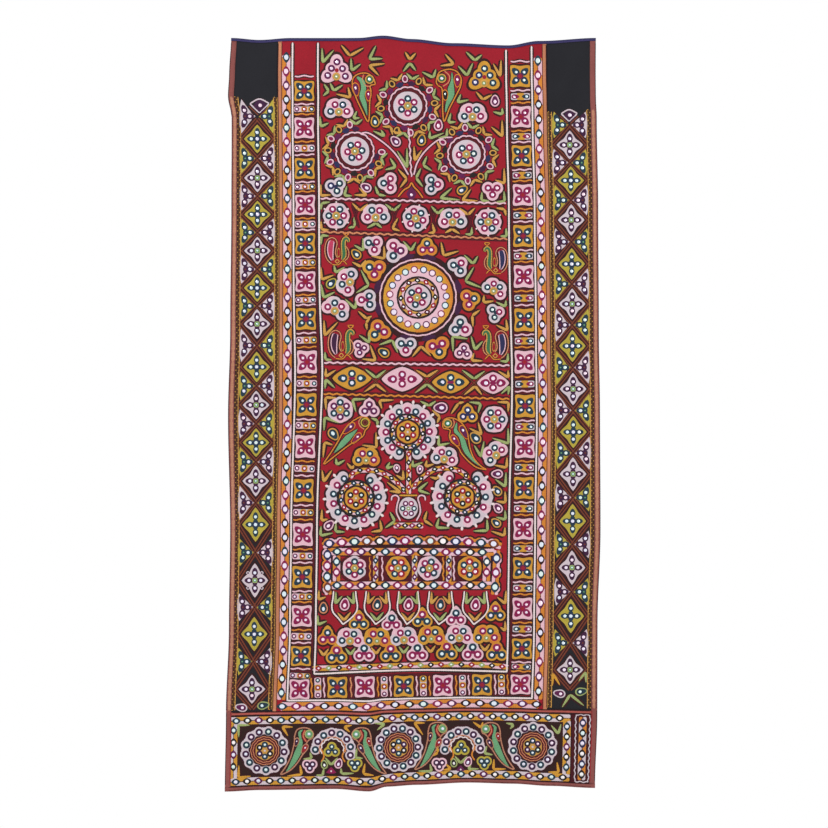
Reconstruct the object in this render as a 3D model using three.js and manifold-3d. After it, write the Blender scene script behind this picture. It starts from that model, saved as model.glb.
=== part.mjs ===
// Mirror-work embroidered wall hanging, in millimetres, shown as it hangs from its top edge.
// Origin at the middle of the top edge, +Z up, the embroidered face towards -Y.
// Two flat coordinates lay out the cloth: "across" runs right from the middle line, "down" from the top edge.
// The third, "lift", is the distance of a point in front of the cloth's middle layer.
import * as THREE from "three";
import { mergeVertices } from "three/addons/utils/BufferGeometryUtils.js";
import Module from "manifold-3d";

const wasm = await Module();
wasm.setup();

// Driving sizes of the cloth laid flat.
const HALF_WIDTH = 357;
const LENGTH = 1453;
const SIDE_SEAM = 260;
const HEM_SEAM = 1307;
const HEM_END_SEAM = 309;
const CLOTH_THICK = 2;
const GAP = 0.3;

// The bindings are strips folded over the cloth's edges; the trims are flat strips sewn over the seams.
const BINDING_WALL = 1;
const BINDING_ROUND = 0.8;
const TOP_COVER = 6;
const SIDE_COVER = 11;
const BOTTOM_COVER = 8;
const TRIM_HALF_WIDTH = 3.6;
const TRIM_THICK = 1.2;

// Couched cords that stand up from the centre panel: two frames open at the top, and lines across the field.
const OUTER_FRAME = { across: 235, down: 1283 };
const INNER_FRAME = { across: 185, down: 1232 };
const FIELD_LINES = [315, 382, 632, 695];
const CORD_HALF_WIDTH = 2.5;
const FRAME_TOP = TOP_COVER + CORD_HALF_WIDTH;
const FRAME_CORD_RISE = 1;
const FIELD_CORD_RISE = 0.7;

// Round flower pads, worked thick: the place of each centre as it hangs, its radius and its number of petals.
const PAD_RISE = 1.5;
const PAD_SEGMENTS = 30;
const PAD_PETAL_DEPTH = 0.05;
const FIELD_PADS = [
  { x: -12, down: 132, radius: 40, petals: 6 },
  { x: -113, down: 221, radius: 40, petals: 6 },
  { x: 103, down: 227, radius: 40, petals: 6 },
  { x: 4, down: 504, radius: 74, petals: 10 },
  { x: -12, down: 761, radius: 48, petals: 10 },
  { x: -113, down: 891, radius: 56, petals: 10 },
  { x: 95, down: 890, radius: 56, petals: 10 },
];
const HEM_PADS = [
  { x: -289, down: 1381, radius: 45, petals: 10 },
  { x: -155, down: 1375, radius: 36, petals: 6 },
  { x: -29, down: 1376, radius: 46, petals: 10 },
  { x: 93, down: 1375, radius: 36, petals: 6 },
  { x: 230, down: 1374, radius: 47, petals: 10 },
];

// How the hanging has drifted out of true: at each height the sway of its middle line, the spread of its
// width, and how far its left and right edges wander outwards.
const DRIFT_ROWS = [
  { down: 0, sway: -3, spread: 0.985, leftOut: -1, rightOut: 5 },
  { down: 70, sway: -3, spread: 0.987, leftOut: 2, rightOut: 4 },
  { down: 113, sway: -2, spread: 0.988, leftOut: 5, rightOut: 3 },
  { down: 155, sway: -2, spread: 0.99, leftOut: -3, rightOut: 4 },
  { down: 330, sway: 1, spread: 0.995, leftOut: -1, rightOut: 2 },
  { down: 566, sway: 2.5, spread: 1, leftOut: 1, rightOut: 0 },
  { down: 733, sway: 3.5, spread: 1.003, leftOut: 5, rightOut: 0 },
  { down: 954, sway: -1, spread: 1.007, leftOut: -5, rightOut: 4 },
  { down: 1139, sway: -3, spread: 1.008, leftOut: -5, rightOut: 0 },
  { down: 1310, sway: -8, spread: 1.01, leftOut: -5, rightOut: 4 },
  { down: 1453, sway: -6, spread: 1.003, leftOut: 2, rightOut: 0 },
];
const EDGE_WANDER_FROM = 200;

// How far the top edge sags between the points that held it, and how far the bottom edge waves.
const TOP_SAG = [
  { across: -357, drop: 0 },
  { across: -302, drop: 4 },
  { across: -240, drop: 0 },
  { across: -104, drop: 0 },
  { across: -57, drop: -4 },
  { across: 0, drop: 2 },
  { across: 82, drop: 10 },
  { across: 190, drop: 15 },
  { across: 250, drop: 6 },
  { across: 357, drop: 0 },
];
const HEM_WAVE = [
  { across: -357, drop: 9 },
  { across: -290, drop: 6 },
  { across: -143, drop: 4 },
  { across: -80, drop: 8 },
  { across: -45, drop: -1 },
  { across: 13, drop: -4 },
  { across: 110, drop: -8 },
  { across: 199, drop: -6 },
  { across: 269, drop: -2 },
  { across: 357, drop: 2 },
];
const SAG_FADES_AT = 950;

// Soft folds of the hung cloth. Each is a ridge (or a trough, with a negative rise) centred at x, down; it
// leans sideways by "lean" for each millimetre down, and dies away over "width" across and "reach" along it.
const FOLDS = [
  { x: -62, down: 0, lean: 0.04, width: 42, reach: 260, rise: 5 },
  { x: 185, down: 0, lean: -0.1, width: 75, reach: 230, rise: 6 },
  { x: 312, down: 62, lean: -0.5, width: 20, reach: 60, rise: 3 },
  { x: -302, down: 40, lean: 0.3, width: 34, reach: 100, rise: 3 },
  { x: -345, down: 115, lean: 0, width: 36, reach: 70, rise: 4 },
  { x: -345, down: 735, lean: 0, width: 40, reach: 90, rise: 4 },
  { x: 345, down: 870, lean: 0, width: 50, reach: 180, rise: 5 },
  { x: 60, down: 690, lean: 0.1, width: 120, reach: 230, rise: 4 },
  { x: -100, down: 985, lean: -0.1, width: 95, reach: 210, rise: -3 },
  { x: -340, down: 1330, lean: 0, width: 46, reach: 90, rise: 5 },
  { x: -82, down: 1453, lean: 0.1, width: 46, reach: 120, rise: 6 },
  { x: 120, down: 1453, lean: 0, width: 85, reach: 150, rise: -4 },
];

// The grid lines that carry the cloth lie no further apart than this.
const GRID_STEP = 52;

// The hung surface.

// Value of one column of a table at a place along another column, eased between the rows on either side.
function tableValue(rows, along, column, place) {
  const last = rows.length - 1;
  const held = THREE.MathUtils.clamp(place, rows[0][along], rows[last][along]);
  const above = Math.max(1, rows.findIndex((row) => row[along] >= held));
  const before = rows[above - 1];
  const after = rows[above];
  const eased = THREE.MathUtils.smoothstep(held, before[along], after[along]);
  return THREE.MathUtils.lerp(before[column], after[column], eased);
}

// How far the cloth stands forward of its hanging plane at a place on it.
function foldRise(x, down) {
  return FOLDS.reduce((sum, fold) => {
    const off = (x - fold.x - fold.lean * (down - fold.down)) / fold.width;
    const along = (down - fold.down) / fold.reach;
    return sum + fold.rise * Math.exp(-off * off - along * along);
  }, 0);
}

// A point of the hanging plane, lifted onto the folds.
function onFolds(x, down, lift) {
  return new THREE.Vector3(x, -foldRise(x, down) - lift, -down);
}

// A point of the flat cloth, carried to where it hangs.
function onCloth(across, down, lift) {
  const sway = tableValue(DRIFT_ROWS, "down", "sway", down);
  const spread = tableValue(DRIFT_ROWS, "down", "spread", down);
  const out = tableValue(DRIFT_ROWS, "down", across < 0 ? "leftOut" : "rightOut", down);
  const wander = THREE.MathUtils.clamp(
    (Math.abs(across) - EDGE_WANDER_FROM) / (HALF_WIDTH - EDGE_WANDER_FROM), 0, 1);
  const x = sway + across * spread + Math.sign(across) * out * wander * wander;
  const sag = tableValue(TOP_SAG, "across", "drop", across) * Math.max(0, 1 - down / SAG_FADES_AT);
  const wave = tableValue(HEM_WAVE, "across", "drop", across)
    * Math.max(0, (down - SAG_FADES_AT) / (LENGTH - SAG_FADES_AT));
  return onFolds(x, down + sag + wave, lift);
}

// Grid lines between two ends that pass through every given place, with no step wider than GRID_STEP.
function gridLines(start, end, places) {
  const inside = places.filter((place) => place > start && place < end);
  const stops = [start, ...inside.sort((a, b) => a - b), end];
  const lines = [start];
  for (let i = 1; i < stops.length; i += 1) {
    const steps = Math.ceil((stops[i] - stops[i - 1]) / GRID_STEP);
    for (let k = 1; k <= steps; k += 1) {
      lines.push(THREE.MathUtils.lerp(stops[i - 1], stops[i], k / steps));
    }
  }
  return lines;
}

const bothSides = (places) => places.flatMap((place) => [-place, place]);
const cordLines = (centre) => [centre - CORD_HALF_WIDTH, centre, centre + CORD_HALF_WIDTH];
const trimLines = (seam) => [seam - TRIM_HALF_WIDTH, seam + TRIM_HALF_WIDTH];

// Every piece takes its grid lines from these two shared families, so neighbours bend alike.
const ACROSS_PLACES = bothSides([
  ...cordLines(INNER_FRAME.across), ...cordLines(OUTER_FRAME.across), ...trimLines(SIDE_SEAM),
  HALF_WIDTH - SIDE_COVER,
]);
const DOWN_PLACES = [
  TOP_COVER, FRAME_TOP, ...FIELD_LINES.flatMap(cordLines), ...cordLines(INNER_FRAME.down),
  ...cordLines(OUTER_FRAME.down), ...trimLines(HEM_SEAM), LENGTH - BOTTOM_COVER,
];
const SHARED_ACROSS = gridLines(-HALF_WIDTH, HALF_WIDTH, ACROSS_PLACES);
const SHARED_DOWN = gridLines(0, LENGTH, DOWN_PLACES);
const linesBetween = (shared, start, end) => [
  start, ...shared.filter((line) => line > start + GAP && line < end - GAP), end,
];

// Closed solids.

// Triangles that close the end of a small section.
function outlineCap(section) {
  return THREE.ShapeUtils.triangulateShape(section.map(({ u, lift }) => new THREE.Vector2(u, lift)), []);
}

// Triangles that close the end of a sheet: its back points are followed by its front points in turned order.
function sheetCap(section) {
  const last = section.length - 1;
  return Array.from({ length: (last - 1) / 2 }, (_, i) => (
    [[i, i + 1, last - i - 1], [i, last - i - 1, last - i]])).flat();
}

// A closed outline of section points, in anticlockwise order, carried along a family of lines; toSpace places
// a section point on a line, and cap closes the two ends.
function carriedSolid(section, cap, lines, toSpace) {
  const count = section.length;
  const points = lines.flatMap((line) => section.map((point) => toSpace(point, line)));
  const end = (lines.length - 1) * count;
  const faces = cap(section).flatMap(([a, b, c]) => [[a, b, c], [c + end, b + end, a + end]]);
  for (let j = 1; j < lines.length; j += 1) {
    for (let i = 0; i < count; i += 1) {
      const near = (j - 1) * count;
      const far = j * count;
      const next = (i + 1) % count;
      faces.push([near + i, far + i, far + next], [near + i, far + next, near + next]);
    }
  }
  return facingOut(points, faces);
}

// Geometry from points and triangles, its faces turned so that they point out of the volume they close.
function facingOut(points, faces) {
  const corner = new THREE.Vector3();
  const volume = faces.reduce((sum, [a, b, c]) => (
    sum + points[a].dot(corner.crossVectors(points[b], points[c]))), 0);
  const outward = volume > 0 ? faces : faces.map(([a, b, c]) => [c, b, a]);
  const geometry = new THREE.BufferGeometry().setFromPoints(points);
  geometry.setIndex(outward.flat());
  return geometry;
}

// A cloth sheet between two across limits and two down limits, with relief added to its front face.
function sheet({ left, right, top, bottom, relief = () => 0 }) {
  const across = linesBetween(SHARED_ACROSS, left, right);
  const down = linesBetween(SHARED_DOWN, top, bottom);
  const half = CLOTH_THICK / 2;
  const back = across.map((u) => ({ u, lift: -half, isFront: false }));
  const front = [...across].reverse().map((u) => ({ u, lift: half, isFront: true }));
  return carriedSolid([...back, ...front], sheetCap, down, (point, line) => (
    onCloth(point.u, line, point.lift + (point.isFront ? relief(point.u, line) : 0))));
}

// Section of a binding: u runs inwards from the folded edge, and the cloth's edge lies in the slot.
function bindingSection(cover) {
  const inner = CLOTH_THICK / 2 + GAP;
  const outer = inner + BINDING_WALL;
  const backHalf = [
    { u: 0, lift: BINDING_ROUND - outer }, { u: BINDING_ROUND, lift: -outer }, { u: cover, lift: -outer },
    { u: cover, lift: -inner }, { u: BINDING_WALL, lift: -inner },
  ];
  const frontHalf = backHalf.map(({ u, lift }) => ({ u, lift: -lift })).reverse();
  return [...backHalf, ...frontHalf];
}

// Section of a trim strip lying on the front of the cloth, centred on its seam.
function trimSection() {
  const under = CLOTH_THICK / 2 + GAP;
  const over = under + TRIM_THICK;
  return [
    { u: -TRIM_HALF_WIDTH, lift: under }, { u: TRIM_HALF_WIDTH, lift: under },
    { u: TRIM_HALF_WIDTH, lift: over }, { u: -TRIM_HALF_WIDTH, lift: over },
  ];
}

// Relief of the couched cords on the centre panel's front.
function cordRelief(across, down) {
  const onLine = (value, line) => Math.abs(value - line) < GAP;
  const onFrame = [OUTER_FRAME, INNER_FRAME].some((frame) => (
    (onLine(Math.abs(across), frame.across) && down > FRAME_TOP - GAP && down < frame.down + GAP)
    || (onLine(down, frame.down) && Math.abs(across) < frame.across + GAP)));
  if (onFrame) {
    return FRAME_CORD_RISE;
  }
  const onField = Math.abs(across) < INNER_FRAME.across && FIELD_LINES.some((line) => onLine(down, line));
  return onField ? FIELD_CORD_RISE : 0;
}

// A petalled round pad on the front of the cloth, its foot sunk to the cloth's middle layer.
function flowerPad({ x, down, radius, petals }) {
  const front = CLOTH_THICK / 2;
  const profile = [
    new THREE.Vector2(0, 0), new THREE.Vector2(radius, 0), new THREE.Vector2(radius, front),
    new THREE.Vector2(0.9 * radius, front + PAD_RISE), new THREE.Vector2(0.45 * radius, front + PAD_RISE),
    new THREE.Vector2(0, front + 1.2 * PAD_RISE),
  ];
  const turned = new THREE.LatheGeometry(profile, PAD_SEGMENTS);
  turned.deleteAttribute("normal");
  turned.deleteAttribute("uv");
  const pad = mergeVertices(turned, 1e-3);
  const place = pad.getAttribute("position");
  const points = Array.from({ length: place.count }, (_, i) => {
    const angle = Math.atan2(place.getZ(i), place.getX(i));
    const swell = 1 + PAD_PETAL_DEPTH * Math.cos(petals * angle);
    return onFolds(x + swell * place.getX(i), down + swell * place.getZ(i), place.getY(i));
  });
  const index = pad.getIndex().array;
  const faces = Array.from({ length: index.length / 3 }, (_, i) => [...index.slice(3 * i, 3 * i + 3)])
    .filter(([a, b, c]) => a !== b && b !== c && a !== c);
  return facingOut(points, faces);
}

// Joins several closed geometries into one.
function joined(geometries) {
  const solids = geometries.map((geometry) => new wasm.Manifold(new wasm.Mesh({
    numProp: 3,
    vertProperties: new Float32Array(geometry.getAttribute("position").array),
    triVerts: new Uint32Array(geometry.getIndex().array),
  })));
  const mesh = solids.reduce((whole, solid) => whole.add(solid)).getMesh();
  const geometry = new THREE.BufferGeometry();
  geometry.setAttribute("position", new THREE.BufferAttribute(mesh.vertProperties, mesh.numProp));
  geometry.setIndex(new THREE.BufferAttribute(mesh.triVerts, 1));
  return geometry;
}

// Materials.

const cottonColours = {
  red: 0xa1213a,
  black: 0x25262b,
  brown: 0x2f2220,
  maroon: 0x5a2530,
  mauve: 0x96666a,
  salmon: 0xb07058,
  blue: 0x4a4270,
};
const cotton = Object.fromEntries(Object.entries(cottonColours).map(([name, color]) => (
  [name, new THREE.MeshStandardMaterial({ color, roughness: 0.9, metalness: 0 })])));

// The pieces.

const hanging = new THREE.Group();

function addPiece(name, geometry, material) {
  const piece = new THREE.Mesh(geometry, material);
  piece.name = name;
  hanging.add(piece);
}

// The cloth's cut edges lie inside the bindings; at a seam two cloths meet with a hair's gap between them.
const edgeInset = BINDING_WALL + GAP;
const clothSide = HALF_WIDTH - edgeInset;
const clothTop = edgeInset;
const clothBottom = LENGTH - edgeInset;
const seamGap = GAP / 2;

const centrePanel = sheet({
  left: -SIDE_SEAM + seamGap, right: SIDE_SEAM - seamGap, top: clothTop, bottom: HEM_SEAM - seamGap,
  relief: cordRelief,
});
addPiece("centre_panel", joined([centrePanel, ...FIELD_PADS.map(flowerPad)]), cotton.red);

addPiece("left_strip", sheet({
  left: -clothSide, right: -SIDE_SEAM - seamGap, top: clothTop, bottom: HEM_SEAM - seamGap,
}), cotton.black);
addPiece("right_strip", sheet({
  left: SIDE_SEAM + seamGap, right: clothSide, top: clothTop, bottom: HEM_SEAM - seamGap,
}), cotton.black);

const hemBand = sheet({
  left: -clothSide, right: HEM_END_SEAM - seamGap, top: HEM_SEAM + seamGap, bottom: clothBottom,
});
addPiece("hem_band", joined([hemBand, ...HEM_PADS.map(flowerPad)]), cotton.brown);
addPiece("hem_end_piece", sheet({
  left: HEM_END_SEAM + seamGap, right: clothSide, top: HEM_SEAM + seamGap, bottom: clothBottom,
}), cotton.maroon);

// The top and bottom bindings run the full width, and the side bindings lie between them.
const fullWidth = linesBetween(SHARED_ACROSS, -HALF_WIDTH, HALF_WIDTH);
const sideHeight = linesBetween(SHARED_DOWN, TOP_COVER + GAP, LENGTH - BOTTOM_COVER - GAP);
const topSection = bindingSection(TOP_COVER);
const bottomSection = bindingSection(BOTTOM_COVER);
const sideSection = bindingSection(SIDE_COVER);
addPiece("top_binding", carriedSolid(topSection, outlineCap, fullWidth, (point, line) => (
  onCloth(line, point.u, point.lift))), cotton.blue);
addPiece("bottom_binding", carriedSolid(bottomSection, outlineCap, fullWidth, (point, line) => (
  onCloth(line, LENGTH - point.u, point.lift))), cotton.mauve);
for (const [name, side] of [["left_binding", -1], ["right_binding", 1]]) {
  addPiece(name, carriedSolid(sideSection, outlineCap, sideHeight, (point, line) => (
    onCloth(side * (HALF_WIDTH - point.u), line, point.lift))), cotton.mauve);
}

// The seam trims stop short of the bindings and of each other.
const trimHeight = linesBetween(SHARED_DOWN, TOP_COVER + GAP, HEM_SEAM - TRIM_HALF_WIDTH - GAP);
const trimWidth = linesBetween(SHARED_ACROSS, -HALF_WIDTH + SIDE_COVER + GAP, HALF_WIDTH - SIDE_COVER - GAP);
for (const [name, side] of [["left_seam_trim", -1], ["right_seam_trim", 1]]) {
  addPiece(name, carriedSolid(trimSection(), outlineCap, trimHeight, (point, line) => (
    onCloth(side * SIDE_SEAM + point.u, line, point.lift))), cotton.salmon);
}
addPiece("hem_seam_trim", carriedSolid(trimSection(), outlineCap, trimWidth, (point, line) => (
  onCloth(line, HEM_SEAM + point.u, point.lift))), cotton.salmon);

export default hanging;
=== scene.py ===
"""Mirror-work embroidered wall hanging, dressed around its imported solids.

Two flat coordinate systems lay it out. A cloth place (across, down) is in millimetres on the flat cloth, and
HungCloth carries it to where it hangs. A chart place (u, v) is in squares of a working chart drawn over the
hanging as it hangs, u to the right and v down. Every motif has its centre on it and is drawn by formula.
"""
import logging
from collections import defaultdict
from dataclasses import dataclass, field
from enum import Enum
from typing import ClassVar, Iterable, NamedTuple, Sequence

import bpy
import numpy as np
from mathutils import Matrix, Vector


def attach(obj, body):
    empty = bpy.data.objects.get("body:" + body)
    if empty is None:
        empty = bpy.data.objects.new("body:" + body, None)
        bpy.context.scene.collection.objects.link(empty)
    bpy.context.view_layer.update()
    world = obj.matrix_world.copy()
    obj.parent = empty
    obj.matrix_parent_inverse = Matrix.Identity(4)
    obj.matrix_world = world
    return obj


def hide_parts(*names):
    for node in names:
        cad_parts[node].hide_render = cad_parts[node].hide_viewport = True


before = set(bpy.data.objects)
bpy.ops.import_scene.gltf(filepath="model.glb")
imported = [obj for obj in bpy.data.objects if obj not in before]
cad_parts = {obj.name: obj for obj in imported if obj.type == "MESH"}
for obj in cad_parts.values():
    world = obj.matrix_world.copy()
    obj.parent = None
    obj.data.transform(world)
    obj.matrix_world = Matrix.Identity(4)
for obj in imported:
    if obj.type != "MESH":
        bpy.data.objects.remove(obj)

LOG = logging.getLogger("hanging")
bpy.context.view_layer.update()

Array = np.ndarray
Socket = bpy.types.NodeSocket
Places = Sequence[tuple[float, float]]
MM = 0.001

# One square of the working chart in millimetres, and the chart's place of the middle of the top edge.
CHART_SQUARE = 1.94
CHART_MIDDLE = 413.5
CHART_TOP = 38.0

# Lifts in millimetres in front of the cloth's middle layer: the cloth's face, then each layer of stitching.
FACE = 1.0
# BED and UNDER hold the dark rows and patches under the stitching, which are partly outline stitching and
# partly painted shade round it.
BED = FACE + 0.03
UNDER = 1.1
LOW = 1.35
HIGH = 1.6
GLASS = 1.95


def linear(rgb: Sequence[float]) -> tuple[float, float, float, float]:
    """Scene-linear colour with full opacity for a display colour.

    Args:
        rgb: red, green and blue from 0 to 255.

    Returns:
        The colour as a material takes it, by the standard display curve in reverse.
    """
    c = np.asarray(rgb, float) / 255.0
    low = c / 12.92
    high = ((c + 0.055) / 1.055) ** 2.4
    return (*np.where(c <= 0.04045, low, high).tolist(), 1.0)


class Nodes:
    """A node tree under construction."""

    def __init__(self, tree: bpy.types.NodeTree) -> None:
        """Takes up a tree."""
        self.tree = tree

    def feed(self, node: bpy.types.Node, inputs: dict[str | int, object]) -> None:
        """Sets each input of a node to a constant, or links it to an output socket."""
        for key, value in inputs.items():
            if isinstance(value, Socket):
                self.tree.links.new(value, node.inputs[key])
            else:
                node.inputs[key].default_value = value

    def add(self, kind: str, inputs: dict[str | int, object] | None = None,
            **settings: object) -> bpy.types.Node:
        """Adds a node.

        Args:
            kind: the node's class name without its ShaderNode prefix.
            inputs: for each input, a constant or the output socket to link.
            settings: properties of the node.

        Returns:
            The new node.
        """
        node = self.tree.nodes.new("ShaderNode" + kind)
        for name, value in settings.items():
            setattr(node, name, value)
        self.feed(node, inputs or {})
        return node

    def math(self, operation: str, *values: object) -> Socket:
        """The output of a math node on constants or sockets."""
        return self.add("Math", dict(enumerate(values)), operation=operation).outputs[0]


class MaterialNodes(Nodes):
    """The nodes of a new material, about its usual shader."""

    def __init__(self, name: str) -> None:
        """Starts the material, with the place on the object for its patterns."""
        self.material = bpy.data.materials.new(name)
        self.material.use_nodes = True
        super().__init__(self.material.node_tree)
        self.shader = self.tree.nodes["Principled BSDF"]
        self.place = self.add("TexCoord").outputs["Object"]

    def stitch(self) -> bpy.types.bpy_prop_collection:
        """The stitch coordinates as outputs X and Y."""
        return self.add("SeparateXYZ", {0: self.add("UVMap", uv_map="stitch").outputs["UV"]}).outputs

    def noise(self, scale: float, detail: float) -> Socket:
        """Soft noise from 0 to 1 over the object."""
        return self.add("TexNoise", {"Vector": self.place, "Scale": scale, "Detail": detail}).outputs["Fac"]

    def weighed(self, *terms: tuple[Socket, float]) -> Socket:
        """The sum of sockets, each times its weight."""
        first = self.math("MULTIPLY", *terms[0])
        return self.math("ADD", first, self.weighed(*terms[1:])) if len(terms) > 1 else first

    def tinted(self, factor: Socket, rgb: Sequence[float], darkest: float, lightest: float
               ) -> Socket:
        """A display colour from its darker to its lighter shade, as a factor goes from 0 to 1."""
        ramp = self.add("ValToRGB", {"Fac": factor})
        for stop, share in zip(ramp.color_ramp.elements, (darkest, lightest)):
            stop.color = linear(np.clip(np.asarray(rgb) * share, 0, 255))
        return ramp.outputs["Color"]

    def bump(self, height: Socket, strength: float, distance: float) -> Socket:
        """The normal over a height, for a distance in metres."""
        inputs = {"Height": height, "Strength": strength, "Distance": distance}
        return self.add("Bump", inputs).outputs["Normal"]


@dataclass(frozen=True)
class ThreadFinish:
    """Chain-stitched thread: its colour, how far its shade runs each way, and its gloss."""

    name: str
    rgb: tuple[int, int, int]
    shades: tuple[float, float] = (0.82, 1.2)
    sheen: float = 0.06
    roughness: float = 0.78

    def material(self) -> bpy.types.Material:
        """The material: chevrons along each row in the bump, and shade in the dips between stitches."""
        nodes = MaterialNodes(self.name)
        coords = nodes.stitch()
        row = nodes.math("ABSOLUTE", nodes.math("SUBTRACT", nodes.math("FRACT", coords["Y"]), 0.5))
        phase = nodes.math("ADD", coords["X"], row)
        beat = nodes.math("SINE", nodes.math("MULTIPLY", phase, 2.0 * np.pi))
        height = nodes.math("SUBTRACT", nodes.math("MULTIPLY", beat, 0.3), row)
        fade, fibre = nodes.noise(55.0, 3.0), nodes.noise(900.0, 2.0)
        shade = nodes.weighed((height, 0.35), (fade, 0.5), (fibre, 0.5))
        rough = nodes.math("ADD", height, nodes.math("MULTIPLY", fibre, 0.4))
        nodes.feed(nodes.shader, {
            "Base Color": nodes.tinted(shade, self.rgb, *self.shades),
            "Normal": nodes.bump(rough, 0.5, 0.0006),
            "Roughness": self.roughness, "Sheen Weight": self.sheen, "Specular IOR Level": 0.3})
        return nodes.material


@dataclass(frozen=True)
class CottonFinish:
    """Plain woven cotton: its colour, its threads' pitch in millimetres, and how far it has faded."""

    name: str
    rgb: tuple[int, int, int]
    thread_pitch: float = 1.3
    fading: float = 0.16

    def material(self) -> bpy.types.Material:
        """The material: crossed threads in the bump, faded in soft clouds."""
        nodes = MaterialNodes(self.name)
        place = nodes.add("SeparateXYZ", {0: nodes.place}).outputs
        turns = 2.0 * np.pi / (self.thread_pitch * MM)
        warp, weft = (nodes.math("SINE", nodes.math("MULTIPLY", place[axis], turns)) for axis in ("X", "Z"))
        weave = nodes.math("MULTIPLY", warp, weft)
        cloud, slub = nodes.noise(9.0, 5.0), nodes.noise(420.0, 3.0)
        shade = nodes.weighed((weave, 0.1), (cloud, 0.6), (slub, 0.4))
        nodes.feed(nodes.shader, {
            "Base Color": nodes.tinted(shade, self.rgb, 1.0 - self.fading * 1.6, 1.0 + self.fading * 1.4),
            "Normal": nodes.bump(nodes.math("ADD", weave, slub), 0.35, 0.0003),
            "Roughness": 0.9, "Sheen Weight": 0.05, "Specular IOR Level": 0.2})
        return nodes.material


@dataclass(frozen=True)
class GlassFinish:
    """Silvered glass whose tint runs from rosy through blue and green to white, by the mirror's own tone."""

    name: str = "mirror_glass"
    roughness: float = 0.16
    tints: tuple[tuple[float, tuple[int, int, int]], ...] = (
        (0.0, (251, 224, 237)), (0.35, (232, 228, 247)), (0.6, (219, 237, 243)), (0.8, (224, 242, 233)),
        (1.0, (252, 246, 246)))

    def material(self) -> bpy.types.Material:
        """The material, with its tints on a ramp."""
        nodes = MaterialNodes(self.name)
        ramp = nodes.add("ValToRGB", {"Fac": nodes.stitch()["X"]})
        stops = ramp.color_ramp.elements
        for tone, _ in self.tints[1:-1]:
            stops.new(tone)
        for stop, (tone, rgb) in zip(stops, self.tints):
            stop.position = tone
            stop.color = linear(rgb)
        nodes.feed(nodes.shader, {
            "Base Color": ramp.outputs["Color"], "Metallic": 1.0, "Roughness": self.roughness})
        return nodes.material


class Thread(Enum):
    """The threads on the hanging, by the name that a stitcher would use."""

    PINK = ThreadFinish("pale_pink_thread", (246, 198, 211), (0.95, 1.06))
    ROSE = ThreadFinish("rose_thread", (198, 62, 98))
    LILAC = ThreadFinish("lilac_thread", (222, 206, 214), (0.94, 1.07))
    WHITE = ThreadFinish("white_cord", (255, 234, 233), (0.97, 1.03))
    GOLD = ThreadFinish("gold_thread", (226, 158, 56))
    ORANGE = ThreadFinish("orange_thread", (236, 138, 52))
    OLIVE = ThreadFinish("olive_thread", (190, 172, 66))
    TAN = ThreadFinish("tan_thread", (214, 160, 78))
    GREEN = ThreadFinish("leaf_green_thread", (164, 178, 112))
    PARROT = ThreadFinish("parrot_green_thread", (112, 170, 124))
    FERN = ThreadFinish("fern_thread", (62, 116, 76))
    TEAL = ThreadFinish("teal_thread", (34, 58, 74))
    NAVY = ThreadFinish("navy_thread", (44, 44, 84))
    PLUM = ThreadFinish("plum_thread", (64, 26, 62))
    PURPLE = ThreadFinish("purple_thread", (100, 30, 80))
    MAGENTA = ThreadFinish("magenta_thread", (142, 24, 80))
    CRIMSON = ThreadFinish("crimson_thread", (160, 30, 46))
    SALMON = ThreadFinish("salmon_thread", (222, 140, 100))
    CLAY = ThreadFinish("clay_thread", (194, 134, 106))
    BROWN = ThreadFinish("brown_thread", (122, 60, 40))
    UMBER = ThreadFinish("umber_thread", (74, 42, 20))
    MAROON = ThreadFinish("maroon_thread", (88, 14, 28))
    # DARK is partly a dark outline thread and partly painted shade: it lies under and round raised stitching,
    # along the bindings' folds and along the trims' edges.
    DARK = ThreadFinish("dark_outline_and_shade_thread", (50, 10, 16))
    BLACK = ThreadFinish("black_thread", (34, 24, 24))


# Each thread by its own name.
(PINK, ROSE, LILAC, WHITE, GOLD, ORANGE, OLIVE, TAN, GREEN, PARROT, FERN, TEAL, NAVY, PLUM, PURPLE,
 MAGENTA, CRIMSON, SALMON, CLAY, BROWN, UMBER, MAROON, DARK, BLACK) = Thread


class Fold(NamedTuple):
    """A soft ridge or trough of the hung cloth, in millimetres; lean is its drift for each one down."""

    x: float
    down: float
    lean: float
    width: float
    reach: float
    rise: float


class Drift(NamedTuple):
    """How far the hanging is out of true at one height."""

    down: float
    sway: float
    spread: float
    left_out: float
    right_out: float


FOLDS = (
    Fold(x=-62, down=0, lean=0.04, width=42, reach=260, rise=5),
    Fold(x=185, down=0, lean=-0.1, width=75, reach=230, rise=6),
    Fold(x=312, down=62, lean=-0.5, width=20, reach=60, rise=3),
    Fold(x=-302, down=40, lean=0.3, width=34, reach=100, rise=3),
    Fold(x=-345, down=115, lean=0, width=36, reach=70, rise=4),
    Fold(x=-345, down=735, lean=0, width=40, reach=90, rise=4),
    Fold(x=345, down=870, lean=0, width=50, reach=180, rise=5),
    Fold(x=60, down=690, lean=0.1, width=120, reach=230, rise=4),
    Fold(x=-100, down=985, lean=-0.1, width=95, reach=210, rise=-3),
    Fold(x=-340, down=1330, lean=0, width=46, reach=90, rise=5),
    Fold(x=-82, down=1453, lean=0.1, width=46, reach=120, rise=6),
    Fold(x=120, down=1453, lean=0, width=85, reach=150, rise=-4),
)
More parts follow.
